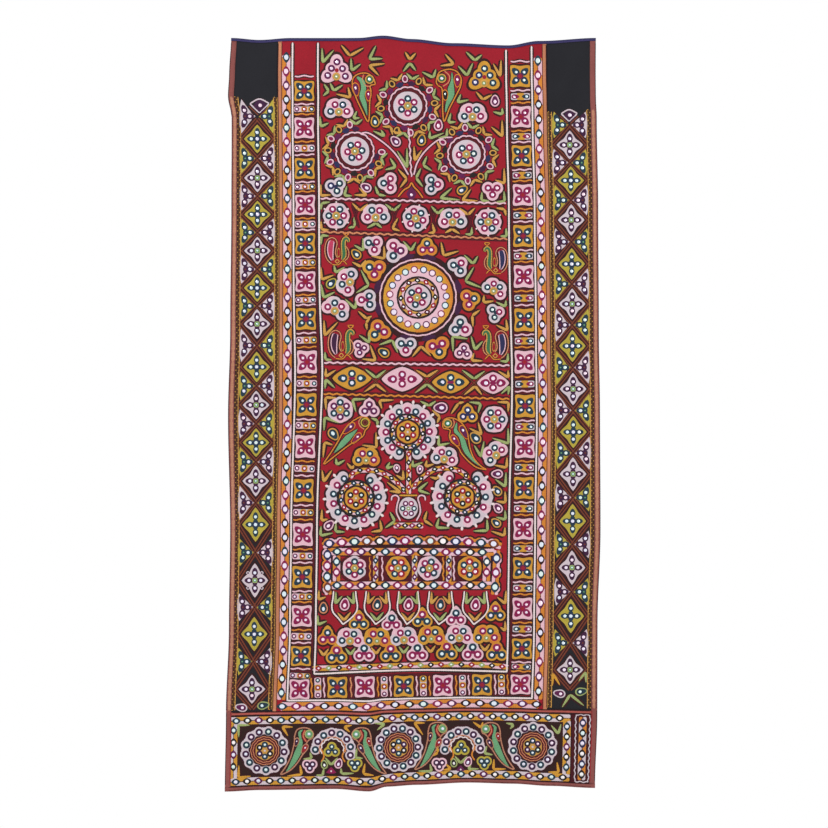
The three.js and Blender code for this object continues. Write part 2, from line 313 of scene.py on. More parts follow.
DRIFTS = (
    Drift(down=0, sway=-3, spread=0.985, left_out=-1, right_out=5),
    Drift(down=70, sway=-3, spread=0.987, left_out=2, right_out=4),
    Drift(down=113, sway=-2, spread=0.988, left_out=5, right_out=3),
    Drift(down=155, sway=-2, spread=0.99, left_out=-3, right_out=4),
    Drift(down=330, sway=1, spread=0.995, left_out=-1, right_out=2),
    Drift(down=566, sway=2.5, spread=1, left_out=1, right_out=0),
    Drift(down=733, sway=3.5, spread=1.003, left_out=5, right_out=0),
    Drift(down=954, sway=-1, spread=1.007, left_out=-5, right_out=4),
    Drift(down=1139, sway=-3, spread=1.008, left_out=-5, right_out=0),
    Drift(down=1310, sway=-8, spread=1.01, left_out=-5, right_out=4),
    Drift(down=1453, sway=-6, spread=1.003, left_out=2, right_out=0),
)
# Pairs of across and drop: how far the top edge sags and the bottom edge waves.
TOP_SAG = ((-357, 0), (-302, 4), (-240, 0), (-104, 0), (-57, -4), (0, 2), (82, 10), (190, 15), (250, 6),
           (357, 0))
HEM_WAVE = (
    (-357, 9), (-290, 6), (-143, 4), (-80, 8), (-45, -1), (13, -4), (110, -8), (199, -6), (269, -2), (357, 2),
)


def eased(keys: Array, values: Array, place: Array) -> Array:
    """Values between a table's rows, eased by the smooth step 3t^2 - 2t^3 from one row to the next.

    Args:
        keys: the rows' places in rising order.
        values: the rows' values.
        place: where to read the table.

    Returns:
        One value for each place.
    """
    i = np.clip(np.searchsorted(keys, place) - 1, 0, len(keys) - 2)
    t = np.clip((place - keys[i]) / (keys[i + 1] - keys[i]), 0.0, 1.0)
    return values[i] + (values[i + 1] - values[i]) * t * t * (3.0 - 2.0 * t)


@dataclass
class HungCloth:
    """The shape in which the cloth hangs, in millimetres."""

    half_width: float = 357.0
    length: float = 1453.0
    side_seam: float = 260.0
    hem_seam: float = 1307.0
    hem_end_seam: float = 309.0
    outer_frame: tuple[float, float] = (235.0, 1283.0)
    inner_frame: tuple[float, float] = (185.0, 1232.0)
    sag_fades_at: float = 950.0
    wander_from: float = 200.0
    tuck: float = 1.3
    seam_gap: float = 0.15

    def fold_rise(self, x: Array, down: Array) -> Array:
        """How far the cloth stands forward: the sum of its folds, each rise * exp(-off^2 - along^2)."""
        rise = np.zeros(np.broadcast(x, down).shape)
        for fold in FOLDS:
            off = (x - fold.x - fold.lean * (down - fold.down)) / fold.width
            along = (down - fold.down) / fold.reach
            rise = rise + fold.rise * np.exp(-off * off - along * along)
        return rise

    def on_folds(self, x: Array, down: Array, lift: Array | float) -> Array:
        """Points in metres for places on the hanging plane, lifted off the folded cloth."""
        return np.stack(np.broadcast_arrays(x, -self.fold_rise(x, down) - lift, -down), -1) * MM

    def plane(self, across: Array | float, down: Array | float) -> tuple[Array, Array]:
        """Where flat cloth places hang: swayed, spread, wandering at the edges, sagging and waving.

        Args:
            across: millimetres to the right of the middle line.
            down: millimetres below the top edge.

        Returns:
            x and down on the hanging plane, in millimetres.
        """
        across, down = np.broadcast_arrays(np.asarray(across, float), np.asarray(down, float))
        keys, sway, spread, left_out, right_out = np.array(DRIFTS, float).T
        out = np.where(across < 0, eased(keys, left_out, down), eased(keys, right_out, down))
        wander = np.clip((np.abs(across) - self.wander_from) / (self.half_width - self.wander_from), 0, 1)
        x = eased(keys, sway, down) + across * eased(keys, spread, down) + np.sign(across) * out * wander ** 2
        sag = eased(*np.array(TOP_SAG, float).T, across) * np.maximum(0, 1 - down / self.sag_fades_at)
        low = np.maximum(0, (down - self.sag_fades_at) / (self.length - self.sag_fades_at)) ** 2
        return x, down + sag + eased(*np.array(HEM_WAVE, float).T, across) * low

    def on_cloth(self, across: Array, down: Array, lift: Array | float) -> Array:
        """Points in metres for flat cloth places, lifted off the cloth as it hangs."""
        return self.on_folds(*self.plane(across, down), lift)

    def chart(self, across: Array | float, down: Array | float) -> Array:
        """Chart places of flat cloth places."""
        x, hung = self.plane(across, down)
        return np.stack([x / CHART_SQUARE + CHART_MIDDLE, hung / CHART_SQUARE + CHART_TOP], -1)

    def over_chart(self, u: Array, v: Array, lift: Array | float) -> Array:
        """Points in metres for chart places, lifted off the cloth."""
        return self.on_folds((u - CHART_MIDDLE) * CHART_SQUARE, (v - CHART_TOP) * CHART_SQUARE, lift)


class MeshParts:
    """Vertices, faces and stitch coordinates gathered for one mesh."""

    def __init__(self) -> None:
        """Starts with nothing gathered."""
        self.points: list[Array] = []
        self.coords: list[Array] = []
        self.faces: list[Array] = []
        self.count = 0

    def add(self, points: Array, coords: Array, faces: Iterable[Array]) -> None:
        """Adds a patch.

        Args:
            points: its vertices, n by 3, in metres.
            coords: its stitch coordinates, n by 2.
            faces: arrays of quads (m by 4) or triangles (m by 3) that index the patch's own vertices.
        """
        self.points.append(points.reshape(-1, 3))
        self.coords.append(coords.reshape(-1, 2))
        self.faces.extend(part + self.count for part in faces)
        self.count += self.points[-1].shape[0]

    def make(self, name: str, material: bpy.types.Material) -> bpy.types.Object:
        """Makes the mesh object with smooth faces and a UV map named stitch.

        Args:
            name: the piece's name.
            material: its finish.

        Returns:
            The new object, linked to the scene at the origin.
        """
        mesh = bpy.data.meshes.new(name)
        points = np.concatenate(self.points)
        corners = np.concatenate([part.ravel() for part in self.faces]).astype(np.int32)
        sizes = np.concatenate([np.full(len(part), part.shape[1], np.int32) for part in self.faces])
        mesh.vertices.add(len(points))
        mesh.vertices.foreach_set("co", points.ravel())
        mesh.loops.add(len(corners))
        mesh.loops.foreach_set("vertex_index", corners)
        mesh.polygons.add(len(sizes))
        mesh.polygons.foreach_set("loop_start", np.concatenate([[0], np.cumsum(sizes)[:-1]]).astype(np.int32))
        mesh.polygons.foreach_set("loop_total", sizes)
        mesh.polygons.foreach_set("use_smooth", np.ones(len(sizes), bool))
        layer = mesh.uv_layers.new(name="stitch")
        layer.data.foreach_set("uv", np.concatenate(self.coords)[corners].ravel())
        mesh.update(calc_edges=True)
        mesh.materials.append(material)
        piece = bpy.data.objects.new(name, mesh)
        bpy.context.scene.collection.objects.link(piece)
        return piece


def grid_quads(rows: int, columns: int, wrap: bool = False) -> Array:
    """Quads of a grid of rows by columns whose vertices run along the columns first.

    Args:
        rows: number of rows of vertices.
        columns: number of vertices in a row.
        wrap: whether the last column joins the first.

    Returns:
        The quads as an array, m by 4.
    """
    j = np.arange(rows - 1)[:, None]
    i = np.arange(columns if wrap else columns - 1)[None, :]
    right = (i + 1) % columns
    quads = np.stack(np.broadcast_arrays(
        j * columns + i, (j + 1) * columns + i, (j + 1) * columns + right, j * columns + right), -1)
    return quads.reshape(-1, 4)


class Outline(NamedTuple):
    """A closed outline about a centre, in chart squares.

    The radius at angle a is size * (|cos a|^power + |sin a|^power)^(-1/power), drawn out towards a = 0 by
    point * max(0, cos a)^5 and scalloped by depth * cos(lobes a). It is then stretched and turned.
    """

    size: float
    tall: float = 1.0
    turn: float = 0.0
    power: float = 2.0
    point: float = 0.0
    lobes: int = 0
    depth: float = 0.0


class Needlework:
    """Stitches and mirrors worked on the cloth, gathered by thread and made into one mesh for each."""

    STITCH = 2.4
    ROW = 1.6
    STEP = 0.85
    SIDES = ((1.3, 8), (5.0, 14), (9.0, 20))
    MOST_SIDES = 40
    GLASS_SIDES = 14
    GLASS_SEED = 7
    FLAT = 0.35
    NARROW = 2.2
    END_TAPER = 0.45
    BEAT = 0.075
    TONES = {
        MAGENTA: 0.05, PURPLE: 0.15, PLUM: 0.2, CRIMSON: 0.1, NAVY: 0.4,
        TEAL: 0.6, GREEN: 0.8, BLACK: 0.95}

    def __init__(self, cloth: HungCloth) -> None:
        """Starts with bare cloth.

        Args:
            cloth: the hung cloth to stitch on.
        """
        self.cloth = cloth
        self.parts: dict[Thread, MeshParts] = defaultdict(MeshParts)
        self.pads: dict[tuple[Thread, int], list[tuple[float, ...]]] = defaultdict(list)
        self.rings: dict[tuple[Thread, int], list[tuple[float, ...]]] = defaultdict(list)
        self.glass: list[tuple[float, float, float, float, float, float]] = []

    def segments(self, size: float) -> int:
        """Number of sides that a round of this size needs."""
        return next((sides for limit, sides in self.SIDES if size < limit), self.MOST_SIDES)

    def pad(self, thread: Thread, u: float, v: float, outline: Outline, lift: float = FACE,
            rise: float = 0.5) -> None:
        """A filled patch with a rounded edge.

        Args:
            thread: its thread.
            u, v: its centre on the chart.
            outline: its edge.
            lift: where its edge lies, in millimetres.
            rise: how far its top stands above its edge, in millimetres.
        """
        self.pads[thread, self.segments(outline.size)].append((u, v, *outline, lift, rise))

    def bed(self, u: float, v: float, outline: Outline) -> None:
        """A thin dark patch that shows round the edge of what lies on it: partly outline stitching, partly
        painted shade.
        """
        self.pad(DARK, u, v, outline, BED, 0.15)

    def ring(self, thread: Thread, u: float, v: float, outline: Outline, width: float = 1.2,
             lift: float = LOW, rise: float = 0.6) -> None:
        """A closed row of stitches whose outer edge is an outline.

        Args:
            thread: its thread.
            u, v: its centre on the chart.
            outline: its outer edge.
            width: the row's width in chart squares.
            lift: where its edges lie, in millimetres.
            rise: how far its middle stands above its edges, in millimetres.
        """
        self.rings[thread, self.segments(outline.size)].append((u, v, *outline, lift, rise, width))

    def mirror(self, u: float, v: float, radius: float, rim: Thread, width: float = 0.9, tall: float = 1.0,
               turn: float = 0.0, power: float = 2.0) -> None:
        """A small mirror, held by a stitched rim.

        Args:
            u, v: its centre on the chart.
            radius: the glass's visible radius in chart squares.
            rim: the rim's thread.
            width: width of the rim in chart squares.
            tall: height over width of an oval one.
            turn: turn of an oval one in degrees.
            power: 2 for a round rim, less for one that runs to points.
        """
        self.glass.append((u, v, radius, tall, turn, self.TONES.get(rim, 0.5)))
        self.ring(rim, u, v, Outline(radius + width, tall=tall, turn=turn, power=power), width + 0.1, HIGH,
                  0.7)

    def cord(self, thread: Thread, path: Array, width: float | Array = 1.5, shade: float = 2.2,
             closed: bool = False) -> None:
        """A row of stitches with a dark row showing on both sides of it, partly outline stitching and partly
        painted shade.

        Args:
            thread: the upper row's thread.
            path: chart places along it.
            width: the upper row's width in chart squares.
            shade: how much wider the dark row is.
            closed: whether its end joins its start.
        """
        self.line(DARK, path, np.asarray(width) + shade, lift=UNDER, rise=0.1, closed=closed)
        self.line(thread, path, width, lift=FACE + 0.15, rise=0.65, closed=closed)

    def line(self, thread: Thread, path: Array, width: float | Array = 1.5, lift: float = FACE,
             rise: float = 0.6, closed: bool = False) -> None:
        """A row of chain stitches along a path: an arched band that swells and dips with each stitch.

        Args:
            thread: its thread.
            path: chart places along it, n by 2.
            width: its width in chart squares, one for all or one for each place.
            lift: where its edges lie, in millimetres; below zero for a row on the back.
            rise: how far its middle stands above its edges, in millimetres.
            closed: whether its end joins its start.
        """
        path = np.asarray(path, float)
        wide = np.broadcast_to(np.asarray(width, float), len(path))
        if closed:
            path = np.concatenate([path, path[:1]])
            wide = np.append(wide, wide[0])
        along = lengths(path)
        count = max(4, int(along[-1] / (self.STEP if rise > self.FLAT else 2.0 * self.STEP)) + 1)
        s = np.linspace(0.0, along[-1], count)
        u = np.interp(s, along, path[:, 0])
        v = np.interp(s, along, path[:, 1])
        wide = np.interp(s, along, wide)
        du, dv = np.gradient(u), np.gradient(v)
        if closed:
            du[[0, -1]] = du[0] + du[-1]
            dv[[0, -1]] = dv[0] + dv[-1]
        size = np.maximum(np.hypot(du, dv), 1e-9)
        beat = np.cos(2.0 * np.pi * s / self.STITCH)
        if not closed:
            wide = wide * np.where((np.arange(count) == 0) | (np.arange(count) == count - 1), self.END_TAPER,
                                   1.0)
        half = 0.5 * wide + self.BEAT * beat * np.minimum(1.0, wide / 1.5)
        plain = wide.max() < self.NARROW or rise <= self.FLAT
        across = np.array([-1.0, 0.0, 1.0] if plain else [-1.0, -0.55, 0.0, 0.55, 1.0])
        arch = 1.0 - np.abs(across) ** 4
        out = np.sign(lift)
        top = out * rise * (1.0 + 0.15 * beat)
        half = out * half
        points = self.cloth.over_chart(
            u[:, None] - (dv / size * half)[:, None] * across,
            v[:, None] + (du / size * half)[:, None] * across,
            lift + top[:, None] * arch)
        rows = max(1.0, round(float(wide.max()) / self.ROW))
        coords = np.stack(np.broadcast_arrays((s / self.STITCH)[:, None], (across + 1.0) * 0.5 * rows), -1)
        self.parts[thread].add(points, coords, [grid_quads(count, len(across))])

    def outline_places(self, rows: Array, inset: Array, angles: Array) -> tuple[Array, Array]:
        """Chart places round many outlines at once, each drawn in by an inset.

        Args:
            rows: arrays of the outlines' u and v, and then of each of their fields in order.
            inset: how far each point lies inside its outline, outlines by rings by 1.
            angles: the angles round an outline.

        Returns:
            u and v, each outlines by rings by angles.
        """
        u, v, size, tall, turn, power, point, lobes, depth = (row[:, None, None] for row in rows[:9])
        c, s = np.cos(angles), np.sin(angles)
        base = (np.abs(c) ** power + np.abs(s) ** power) ** (-1.0 / power)
        radius = size * base * (1.0 + point * np.maximum(c, 0.0) ** 5 + depth * np.cos(lobes * angles))
        radius = np.maximum(radius - inset, 0.02)
        x, y = radius * c, tall * radius * s
        return turned(u, v, turn, x, y)

    def make_pads(self) -> None:
        """Works out all pads: for each, three rings at insets of its edge and a centre point."""
        for (thread, count), found in self.pads.items():
            rows = np.array(found, float).T
            size, lift, rise = rows[2][:, None, None], rows[9][:, None, None], rows[10][:, None, None]
            edge = np.minimum(0.8, 0.4 * size)
            inset = np.concatenate([0.0 * size, edge, 0.5 * size + 0.5 * edge], 1)
            angles = around(count)
            u, v = self.outline_places(rows, inset, angles)
            share = np.array([0.0, 0.9, 1.0])[None, :, None]
            level = np.broadcast_to(lift + rise * share, u.shape)
            n = len(found)
            flat_u = np.concatenate([u.reshape(n, -1), rows[0][:, None]], 1)
            flat_v = np.concatenate([v.reshape(n, -1), rows[1][:, None]], 1)
            flat_level = np.concatenate([level.reshape(n, -1), (lift + rise)[:, 0]], 1)
            points = self.cloth.over_chart(flat_u, flat_v, flat_level)
            way = np.broadcast_to(angles * np.maximum(size - inset, 0.3) / self.STITCH, u.shape).reshape(n,
                                                                                                         -1)
            row = np.broadcast_to(inset / self.ROW, u.shape).reshape(n, -1)
            coords = np.stack([np.concatenate([way, np.zeros((n, 1))], 1),
                               np.concatenate([row, rows[2][:, None] / self.ROW], 1)], -1)
            quads = grid_quads(3, count, wrap=True)
            ring = np.arange(count)
            fan = np.stack([2 * count + ring, np.full(count, 3 * count), 2 * count + (ring + 1) % count], -1)
            start = (np.arange(n) * (3 * count + 1))[:, None, None]
            self.parts[thread].add(points, coords, [(quads + start).reshape(-1, 4),
                                                    (fan + start).reshape(-1, 3)])

    def make_rings(self) -> None:
        """Works out all rings: an outer edge, a raised middle with stitch beats, and a high inner edge."""
        for (thread, count), found in self.rings.items():
            rows = np.array(found, float).T
            size, lift, rise, width = (rows[k][:, None, None] for k in (2, 9, 10, 11))
            inset = width * np.array([0.0, 0.5, 1.0])[None, :, None]
            angles = around(count)
            u, v = self.outline_places(rows, inset, angles)
            beat = 1.0 + 0.18 * np.where(np.arange(count) % 2 == 0, 1.0, -1.0)
            level = lift + rise * np.array([0.0, 1.0, 0.8])[None, :, None] * beat
            points = self.cloth.over_chart(u, v, np.broadcast_to(level, u.shape))
            coords = np.stack(np.broadcast_arrays(
                angles * size / self.STITCH, np.array([0.0, 0.5, 1.0])[None, :, None] + 0.0 * u), -1)
            start = (np.arange(len(found)) * 3 * count)[:, None, None]
            quads = grid_quads(3, count, wrap=True) + start
            self.parts[thread].add(points, coords, [quads.reshape(-1, 4)])

    def make_glass(self, material: bpy.types.Material) -> bpy.types.Object:
        """Makes the mirrors: each a thin round with a ground edge, tipped a little this way or that.

        Args:
            material: the glass's finish.

        Returns:
            The mirrors as one piece.
        """
        count = self.GLASS_SIDES
        u, v, radius, tall, turn, tone = np.array(self.glass, float).T[:, :, None, None]
        angles = around(count)[None, None, :]
        share = np.array([1.12, 0.94])[None, :, None]
        x, y = radius * share * np.cos(angles), tall * radius * share * np.sin(angles)
        draw = np.random.default_rng(self.GLASS_SEED)
        tip = draw.normal(0.0, 0.05, (2, len(self.glass), 1, 1)) * np.minimum(1.0, 1.4 / radius)
        level = GLASS + np.array([-0.25, 0.0])[None, :, None] + (tip[0] * x + tip[1] * y) * CHART_SQUARE
        rim_u, rim_v = turned(u, v, turn, x, y)
        n = len(self.glass)
        flat = [np.concatenate([part.reshape(n, -1), mid], 1) for part, mid in (
            (rim_u, u[:, 0]), (rim_v, v[:, 0]), (level, np.full((n, 1), GLASS)))]
        points = self.cloth.over_chart(*flat)
        ring = np.arange(count)
        fan = np.stack([count + ring, np.full(count, 2 * count), count + (ring + 1) % count], -1)
        start = (np.arange(n) * (2 * count + 1))[:, None, None]
        parts = MeshParts()
        tone = np.clip(tone[:, 0] + draw.normal(0.0, 0.13, (n, 1)), 0.0, 1.0)
        coords = np.stack(np.broadcast_arrays(tone, flat[0]), -1)
        parts.add(points, coords, [
            (grid_quads(2, count, wrap=True) + start).reshape(-1, 4), (fan + start).reshape(-1, 3)])
        return parts.make("mirrors", material)


# Paths on the chart.

def around(count: int) -> Array:
    """Angles of equal steps round a full turn, from zero."""
    return np.linspace(0.0, 2.0 * np.pi, count, endpoint=False)


def wavy(start: Sequence[float], end: Sequence[float], swing: float, cycles: float) -> Array:
    """A straight path that swings from side to side as a sine.

    Args:
        start, end: its ends on the chart.
        swing: how far it swings, in chart squares.
        cycles: how many full swings it makes.

    Returns:
        Chart places along it.
    """
    a, b = np.asarray(start, float), np.asarray(end, float)
    t = np.linspace(0.0, 1.0, max(8, int(cycles * 10)))[:, None]
    side = np.array([a[1] - b[1], b[0] - a[0]]) / max(np.hypot(*(b - a)), 1e-9)
    return a + (b - a) * t + side * swing * np.sin(2.0 * np.pi * cycles * t)


def round_path(u: float, v: float, radius: float, lobes: int = 0, depth: float = 0.0, start: float = 0.0,
               sweep: float = 360.0) -> Array:
    """Places round a circle or an arc whose radius swells by depth * |sin(lobes a / 2)|.

    Args:
        u, v: its centre on the chart.
        radius: its radius in chart squares.
        lobes: number of scallops round a full turn.
        depth: how far each scallop bulges, in chart squares.
        start, sweep: where an arc begins and how far it goes, in degrees.

    Returns:
        Chart places along it, without the closing one for a full turn.
    """
    count = max(24, lobes * 8)
    a = np.radians(start + sweep * np.linspace(0.0, 1.0, count, endpoint=abs(sweep) < 360.0))
    r = radius + depth * np.abs(np.sin(lobes * a / 2.0))
    return np.stack([u + r * np.cos(a), v + r * np.sin(a)], -1)


def lengths(path: Array) -> Array:
    """Length along a path up to each of its places."""
    return np.concatenate([[0.0], np.cumsum(np.hypot(*np.diff(path, axis=0).T))])


def stepped(path: Array, pitch: float, start: float | None = None) -> Array:
    """Places at equal steps along a path, from a start or, when that is left out, from half a step."""
    along = lengths(path)
    stops = np.arange(0.5 * pitch if start is None else start, along[-1], pitch)
    return np.stack([np.interp(stops, along, path[:, axis]) for axis in (0, 1)], -1)


def curve(*places: Sequence[float]) -> Array:
    """A smooth path through places, by Catmull-Rom cubics with eight steps between neighbours."""
    p = np.asarray(places, float)
    p = np.concatenate([2 * p[:1] - p[1:2], p, 2 * p[-1:] - p[-2:-1]])
    t = np.linspace(0.0, 1.0, 8, endpoint=False)[None, :, None]
    a, b, c, d = (p[k:len(p) - 3 + k, None, :] for k in range(4))
    square, cube = 2 * a - 5 * b + 4 * c - d, 3 * b - a - 3 * c + d
    path = 0.5 * (2 * b + (c - a) * t + square * t ** 2 + cube * t ** 3)
    return np.concatenate([path.reshape(-1, 2), p[-2:-1]])


def turned(u: float, v: float, turn: float, du: float, dv: float = 0.0) -> tuple[float, float]:
    """The place (or arrays of them) that lies (du, dv) from (u, v) in axes turned by so many degrees."""
    t = np.radians(turn)
    return u + du * np.cos(t) - dv * np.sin(t), v + du * np.sin(t) + dv * np.cos(t)


def at_height(path: Array, v: float) -> float:
    """The u of a path that runs down the chart, at height v."""
    return float(np.interp(v, path[:, 1], path[:, 0]))


class BirdShape(NamedTuple):
    """A parrot about its eye: its edge, back with widths, collar, wing drops and the eye's threads."""

    edge: Places
    back: Sequence[tuple[float, float, float]]
    collar: Places
    wings: Sequence[tuple[float, float, float, float, Thread]]
    eye: tuple[Thread, Thread] = (PARROT, TEAL)
    drawn_out: float = 0.5
    edge_thread: Thread = ORANGE


UPRIGHT = BirdShape(
    edge=((6, 5), (3.5, -1.5), (-2.5, -6), (-11, -5.5), (-16.5, -1), (-17, 7), (-13.5, 18), (-8, 30),
          (-1.2, 42),
          (0.2, 22), (1.4, 12), (0.6, 6.5), (6, 5)),
    back=((-12.5, -2.5, 2.4), (-7.5, 2, 4.6), (-6, 9, 5), (-7.5, 17, 5.2), (-5, 25, 4.6), (-2.4, 36, 0.6)),
    collar=((-6, -5), (-7, 1), (-3.5, 6.5), (1.5, 7)),
    wings=((-14, 8.6, 4.6, 80, PURPLE), (-1.2, 15, 3.7, 90, MAGENTA)),
    eye=(TAN, FERN))
BROAD = BirdShape(
    edge=((3.7, 7.3), (5.5, 4), (4.6, -1.6), (2.2, -6.2), (-2.7, -8.3), (-8.8, -9), (-14.4, -7.1),
          (-17.7, -3.4),
          (-19.6, 2.1), (-18.3, 8.9), (-15, 15.6), (-11.3, 22.9), (-7.3, 30.9), (-2.4, 43.1), (-0.9, 32.1),
          (-0.9, 19.9), (0, 10.1), (3.7, 7.3)),
    back=((-10.1, -5.8, 1.2), (-10.4, 0.9, 1.8), (-9.9, 5.8, 4), (-9.2, 10.7, 6.6), (-9.4, 15.6, 6.2),
          (-7.6, 21.1, 5), (-5.2, 27.2, 3.2), (-3.6, 34, 1)),
    collar=((-2.7, -7.4), (-7.6, -2.2), (-6.7, 4), (-0.9, 8.2)),
    wings=((-15.6, 1.2, 4.4, 90, MAGENTA), (-3.3, 15.8, 3.6, 94, BLACK)),
    eye=(TAN, FERN))
SLANTED = BirdShape(
    edge=((3.5, 4.5), (4.2, -1), (0.5, -5.2), (-5.5, -6.5), (-12, -4.6), (-14.6, 1.5), (-15, 8),
          (-16.5, 15.5),
          (-19, 24), (-24, 33.5), (-29, 41), (-22, 38.5), (-16.5, 34.5), (-11, 28), (-7, 21.5), (-2.2, 15.5),
          (-2.8, 9.6), (0.5, 5.5), (3.5, 4.5)),
    back=((-6.4, -4.6, 1), (-9.6, -1.4, 3), (-9, 4, 2.4), (-8.6, 9, 4), (-11.6, 19, 6.6), (-16, 28, 5),
          (-20.5, 35, 2.4),
          (-23.6, 38.4, 0.6)),
    collar=((-4.1, -4.4), (-6, 2), (-2.8, 7.7)),
    wings=((-12.6, 7.2, 2.8, 104, PLUM), (-4, 14, 3.6, 118, CRIMSON)),
    eye=(GREEN, PARROT), edge_thread=CLAY)
DIAGONAL = BirdShape(
    edge=((5.1, -1), (1.5, -5), (-4.5, -5.6), (-9.6, -3), (-13.4, -0.4), (-21.7, 9.2), (-27.4, 19.4),
          (-33.8, 29.6),
          (-41.4, 41.7), (-29, 32.5), (-16.6, 23), (-8.3, 18), (-1.9, 13.2), (0, 8), (3.2, 4.6), (5.1, -1)),
    back=((-7.6, 6.4, 0.6), (-12, 10.8, 3.4), (-17.2, 15.4, 6), (-22.6, 21.2, 5.6), (-27.4, 26.6, 2.8),
          (-31.2, 30.6, 0.5)),
    collar=((-3.4, -5.2), (-6.2, -1.2), (-5, 3.6), (-0.6, 7)),
    wings=((-14.4, 4.2, 4.4, 138, PURPLE), (-7.4, 14.2, 3.9, 131, MAGENTA)),
    eye=(OLIVE, MAROON), drawn_out=0.9)
BOWED = BirdShape(
    edge=((4.5, 5), (5, 1), (4.2, -2.6), (1.1, -5), (-4.2, -5.4), (-9.6, -3.5), (-14.5, 0.3), (-18.5, 6.3),
          (-20.2, 12.6), (-21.3, 19.3), (-22.6, 26), (-25.7, 34), (-30.1, 39.8), (-34.6, 43.8), (-38.6, 46.1),
          (-29.7, 44.3), (-23, 39.8), (-17.6, 34.5), (-13.2, 29.1), (-11.2, 24.9), (-7.8, 21.7), (-3.6, 18.2),
          (-1.7, 12.6), (-2.2, 6.6), (4.5, 5)),
    back=((-9.2, -1, 0.8), (-8.3, 3.2, 2.4), (-8, 7.7, 3.8), (-12, 12.1, 3), (-15, 17.1, 4.8),
          (-16.6, 22.9, 5.4),
          (-19.2, 28.7, 4.6), (-22.5, 33.3, 3.2), (-26.6, 38, 2), (-31.3, 42.1, 0.5)),
    collar=((-5.1, -4.8), (-6.5, -0.8), (-5.6, 2.8), (-2.9, 5)),
    wings=((-15.2, 6.8, 4.4, 119, PURPLE), (-6.4, 15.4, 3.7, 124, MAGENTA)),
    eye=(TAN, FERN), drawn_out=0.9)


